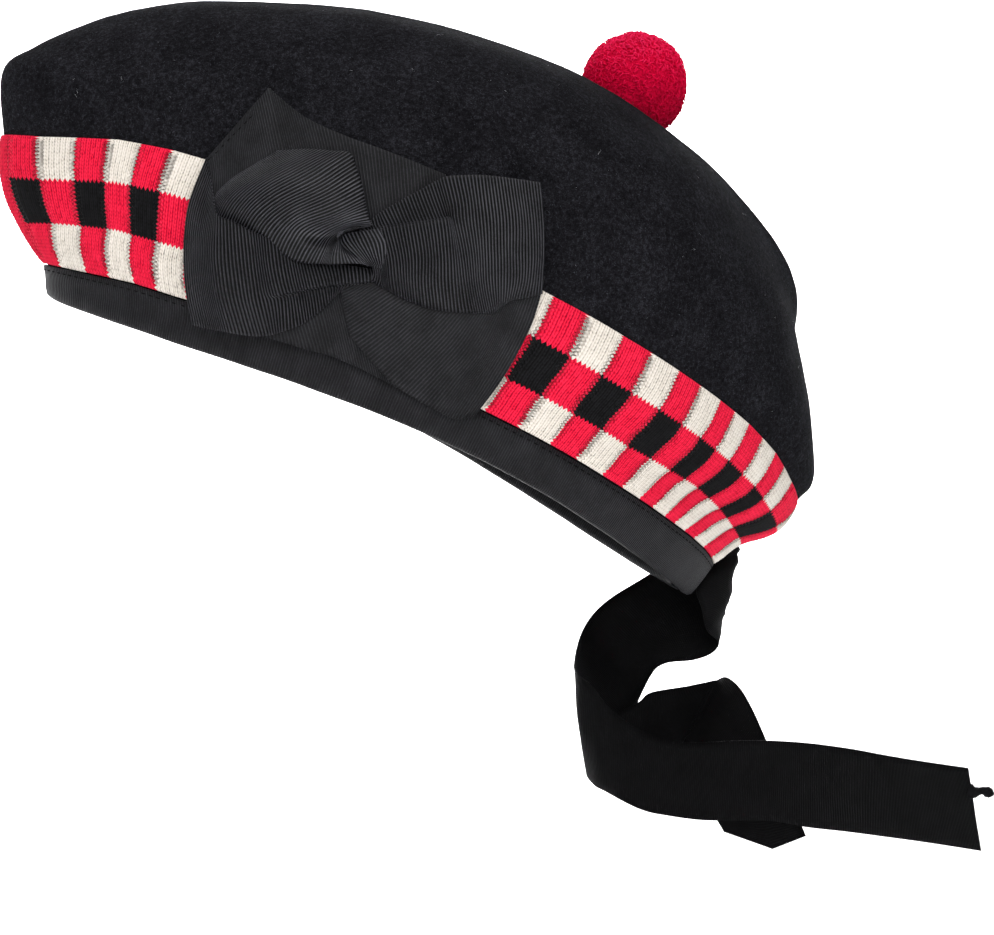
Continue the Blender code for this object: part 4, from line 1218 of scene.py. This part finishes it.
makeTail("near_tail_ribbon", nearTail, "tail_near", 0.0, 1.0)
makeTail("far_tail_ribbon", farTail, "tail_far", tailSpec["farPoint"], 5.0)


# The near tail's cut end has frayed into a twist of weft with a knot in it: picks and radius in mm
frayPicks = ((964, 789, 2.2, 2.6), (970, 791.5, 2.2, 2.7), (975, 792, 2.2, 2.0), (980, 791, 2.2, 1.4),
             (984, 791, 2.0, 1.5), (987, 792, 2.0, 1.9), (990, 793, 2.0, 1.7), (992.5, 794, 2.0, 0.9),
             (993.5, 795, 2.0, 0.3))


def makeFray():
    picks = smoothRows(frayPicks, np.linspace(0, len(frayPicks) - 1, tailSpec["fraySteps"]))
    path, radii = tailSpots(picks)[None] * mm, picks[None, :, 3] * mm
    verts, faces = tubes(path, radii, tailSpec["fraySides"], np.array([0.0, 1.0, 0.0]))
    fuzz = np.array([noise.noise(Vector(v) / tailSpec["fuzzSize"]) for v in verts]) * tailSpec["fuzz"]
    verts = verts + fuzz[:, None]
    item = makeMesh("tail_frayed_knot", verts, faces, [tailRibbon])
    setUV(item, np.zeros((len(verts), 2)))
    place(item, "tail_ribbon")


makeFray()
print("tails made")


# Toorie: a ball of curled yarn ends on a dense core
toorieSpec = {"radius": 17.5 * mm, "core": 16.4 * mm, "curls": 4300, "curlRadius": 0.75 * mm,
              "yarn": 0.20 * mm, "segments": 6, "lumps": 0.9 * mm, "forward": -1.6 * mm,
              "lumpsAcross": 1.6, "bumpsAcross": 14, "bumps": 0.6 * mm, "scatter": 0.03,
              "drift": 0.5 * mm, "sunk": 0.4 * mm, "turns": 0.62, "standOut": 0.75, "slant": 0.8,
              "tipReach": 1.4 * mm, "coreShade": 0.15, "yarnSides": 3, "spin": 1.3,
              "spinVaries": 0.9, "smallest": 0.6, "sizeVaries": 0.7, "curlShade": 0.10,
              "tipShade": 0.34, "paintedTopLight": 0.42, "shadeVaries": 0.06}


def makeToorie():
    spec = toorieSpec
    own = np.array([v.co[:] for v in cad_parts["toorie"].data.vertices]) @ tiltRows
    centre = np.array([(own[:, 0].min() + own[:, 0].max()) / 2, 0, own[:, 2].max() - spec["radius"]])
    centre = centre + np.array([spec["forward"], 0, 0]) @ tiltRows
    bpy.ops.object.select_all(action="DESELECT")
    bpy.ops.mesh.primitive_ico_sphere_add(subdivisions=4, radius=1)
    item = bpy.context.object
    item.name = item.data.name = "toorie_wool"
    ball = np.array([v.co[:] for v in item.data.vertices])

    def swell(ways):
        # the ball is a little lumpy
        spots = [Vector(w) * spec["lumpsAcross"] + Vector((3, 1, 7)) for w in ways]
        return np.array([noise.noise(spot) for spot in spots]) * spec["lumps"]

    bumps = np.array([noise.noise(Vector(p) * spec["bumpsAcross"]) for p in ball]) * spec["bumps"]
    core = centre + ball * (spec["core"] + swell(ball) + bumps)[:, None]
    # the curls start evenly spread over the ball
    count = spec["curls"]
    k = np.arange(count)
    zed = 1 - 2 * (k + 0.5) / count
    turn = k * math.pi * (3 - math.sqrt(5))
    out = np.stack([np.sqrt(1 - zed**2) * np.cos(turn), np.sqrt(1 - zed**2) * np.sin(turn), zed], 1)
    out += rng.normal(size=out.shape) * spec["scatter"]
    out = unit(out)
    side = unit(np.cross(out, rng.normal(size=out.shape)))
    other = np.cross(out, side)
    segments = spec["segments"]
    path = np.empty((count, segments + 1, 3))
    spin = spec["spin"] + rng.random(count) * spec["spinVaries"]
    size = spec["curlRadius"] * (spec["smallest"] + spec["sizeVaries"] * rng.random(count))
    drift = rng.normal(size=count) * spec["drift"]
    base = spec["core"] + swell(out)
    for s in range(segments + 1):
        t = s / segments
        angle = t * 2 * math.pi * spin * spec["turns"]
        rise = base - spec["sunk"] + (size * (1 - np.cos(angle))) * spec["standOut"]
        path[:, s] = (centre + out * rise[:, None] + side * (np.sin(angle) * size)[:, None]
                      + other * (drift * t + size * (t - 0.5) * spec["slant"])[:, None])
    radii = spec["yarn"] * np.array([0.5] + [1.0] * (segments - 1) + [0.45])
    verts, strips = tubes(path, radii, spec["yarnSides"], other[:, None])
    start = len(core)
    faces = [tuple(p.vertices) for p in item.data.polygons]
    faces += [tuple(start + q for q in face) for face in strips]
    # painted light and shade: curls are lighter where they stand out and darker deeper in, and lighter where
    # they face up, as if lit from above
    worldUp = toWorld(out)[:, 2]
    tip = (np.linalg.norm(path - centre, axis=2) - base[:, None]) / spec["tipReach"]
    uneven = rng.normal(size=count) * spec["shadeVaries"]
    shadeCurl = spec["curlShade"] + spec["tipShade"] * tip
    shadeCurl = np.clip(shadeCurl + (spec["paintedTopLight"] * worldUp + uneven)[:, None], 0, 1)
    points = np.concatenate([core, verts])
    old = item.data
    item.data = bpy.data.meshes.new("toorie_wool")
    bpy.data.meshes.remove(old)
    item.data.from_pydata(toWorld(points).tolist(), [], [list(map(int, f)) for f in faces])
    item.data.materials.append(toorieWool)
    item.data.shade_smooth()
    item.data.update()
    # the core is painted dark as shade under the curls
    shades = [np.full(start, spec["coreShade"]), np.repeat(shadeCurl.ravel(), spec["yarnSides"])]
    setFloat(item, "shade", np.concatenate(shades))
    place(item, "toorie_wool", "toorie")


makeToorie()
print("toorie made")


# Floor, lights and camera
studio = {"floor": -0.34, "paper": "fafafa", "sweepBack": 1.9, "sweepRadius": 0.8, "wide": 8.0,
          "front": -3.0, "high": 3.2, "worldStrength": 0.23, "gridSpread": 110.0, "nearest": 0.02}
# name, place, size, power in W, the point that it faces
lamps = (
    ("keySoftbox", (-0.55, -1.6, 0.95), 1.0, 19.5, (0, 0, 0)),
    ("fillSoftbox", (0.35, -1.8, 0.0), 1.1, 8, (0, 0, 0)),
    ("topSoftbox", (0.1, 0.1, 1.6), 1.0, 10.5, (0, 0, 0)),
    ("paperLampLeft", (-1.4, 0.4, 1.0), 1.2, 60, (-0.9, 1.9, 0.3)),
    ("paperLampRight", (1.4, 0.4, 1.0), 1.2, 60, (0.9, 1.9, 0.3)),
)


def makeStudio():
    bpy.ops.object.select_all(action="DESELECT")
    bpy.ops.mesh.primitive_plane_add(size=1)
    paper = bpy.context.object
    paper.name = "paper_sweep"
    low, back, radius = studio["floor"], studio["sweepBack"], studio["sweepRadius"]
    profile = [(studio["front"], low), (back - radius, low)]
    for turn in map(math.radians, range(6, 91, 6)):
        profile.append((back - radius + radius * math.sin(turn), low + radius - radius * math.cos(turn)))
    profile += [(back, low + studio["high"])]
    verts = [(x, y, z) for y, z in profile for x in (-studio["wide"] / 2, studio["wide"] / 2)]
    faces = [(2 * i, 2 * i + 1, 2 * i + 3, 2 * i + 2) for i in range(len(profile) - 1)]
    paper.data.clear_geometry()
    paper.data.from_pydata(verts, [], faces)
    paper.data.shade_smooth()
    material, tree, shader = newMaterial("mattPaper", 0.9, 0.0, 0.5, "ffffff", 0.2)
    shader.inputs["Base Color"].default_value = hexColour(studio["paper"])
    paper.data.materials.append(material)
    world = bpy.data.worlds.new("softRoom")
    world.use_nodes = True
    light = world.node_tree.nodes["Background"]
    light.inputs["Color"].default_value = hexColour("ffffff")
    light.inputs["Strength"].default_value = studio["worldStrength"]
    bpy.context.scene.world = world
    for name, where, size, power, aim in lamps:
        light = bpy.data.lights.new(name, "AREA")
        light.size = size
        light.energy = power
        if name.startswith("paper"):
            # honeycomb grids keep the paper lamps off the cap
            light.spread = math.radians(studio["gridSpread"])
        lamp = bpy.data.objects.new(name, light)
        lamp.location = where
        lamp.rotation_euler = (Vector(aim) - Vector(where)).to_track_quat("-Z", "Y").to_euler()
        bpy.context.scene.collection.objects.link(lamp)


def makeCamera():
    camera = bpy.data.cameras.new("photoCamera")
    camera.lens = view["lens"]
    camera.sensor_width = view["sensor"]
    camera.clip_start = studio["nearest"]
    item = bpy.data.objects.new("photoCamera", camera)
    item.location = view["place"]
    item.rotation_euler = (-viewAxes()[2]).to_track_quat("-Z", "Y").to_euler()
    bpy.context.scene.collection.objects.link(item)
    bpy.context.scene.camera = item


makeStudio()
makeCamera()
bpy.context.scene.view_settings.view_transform = "Standard"
print("studio made")
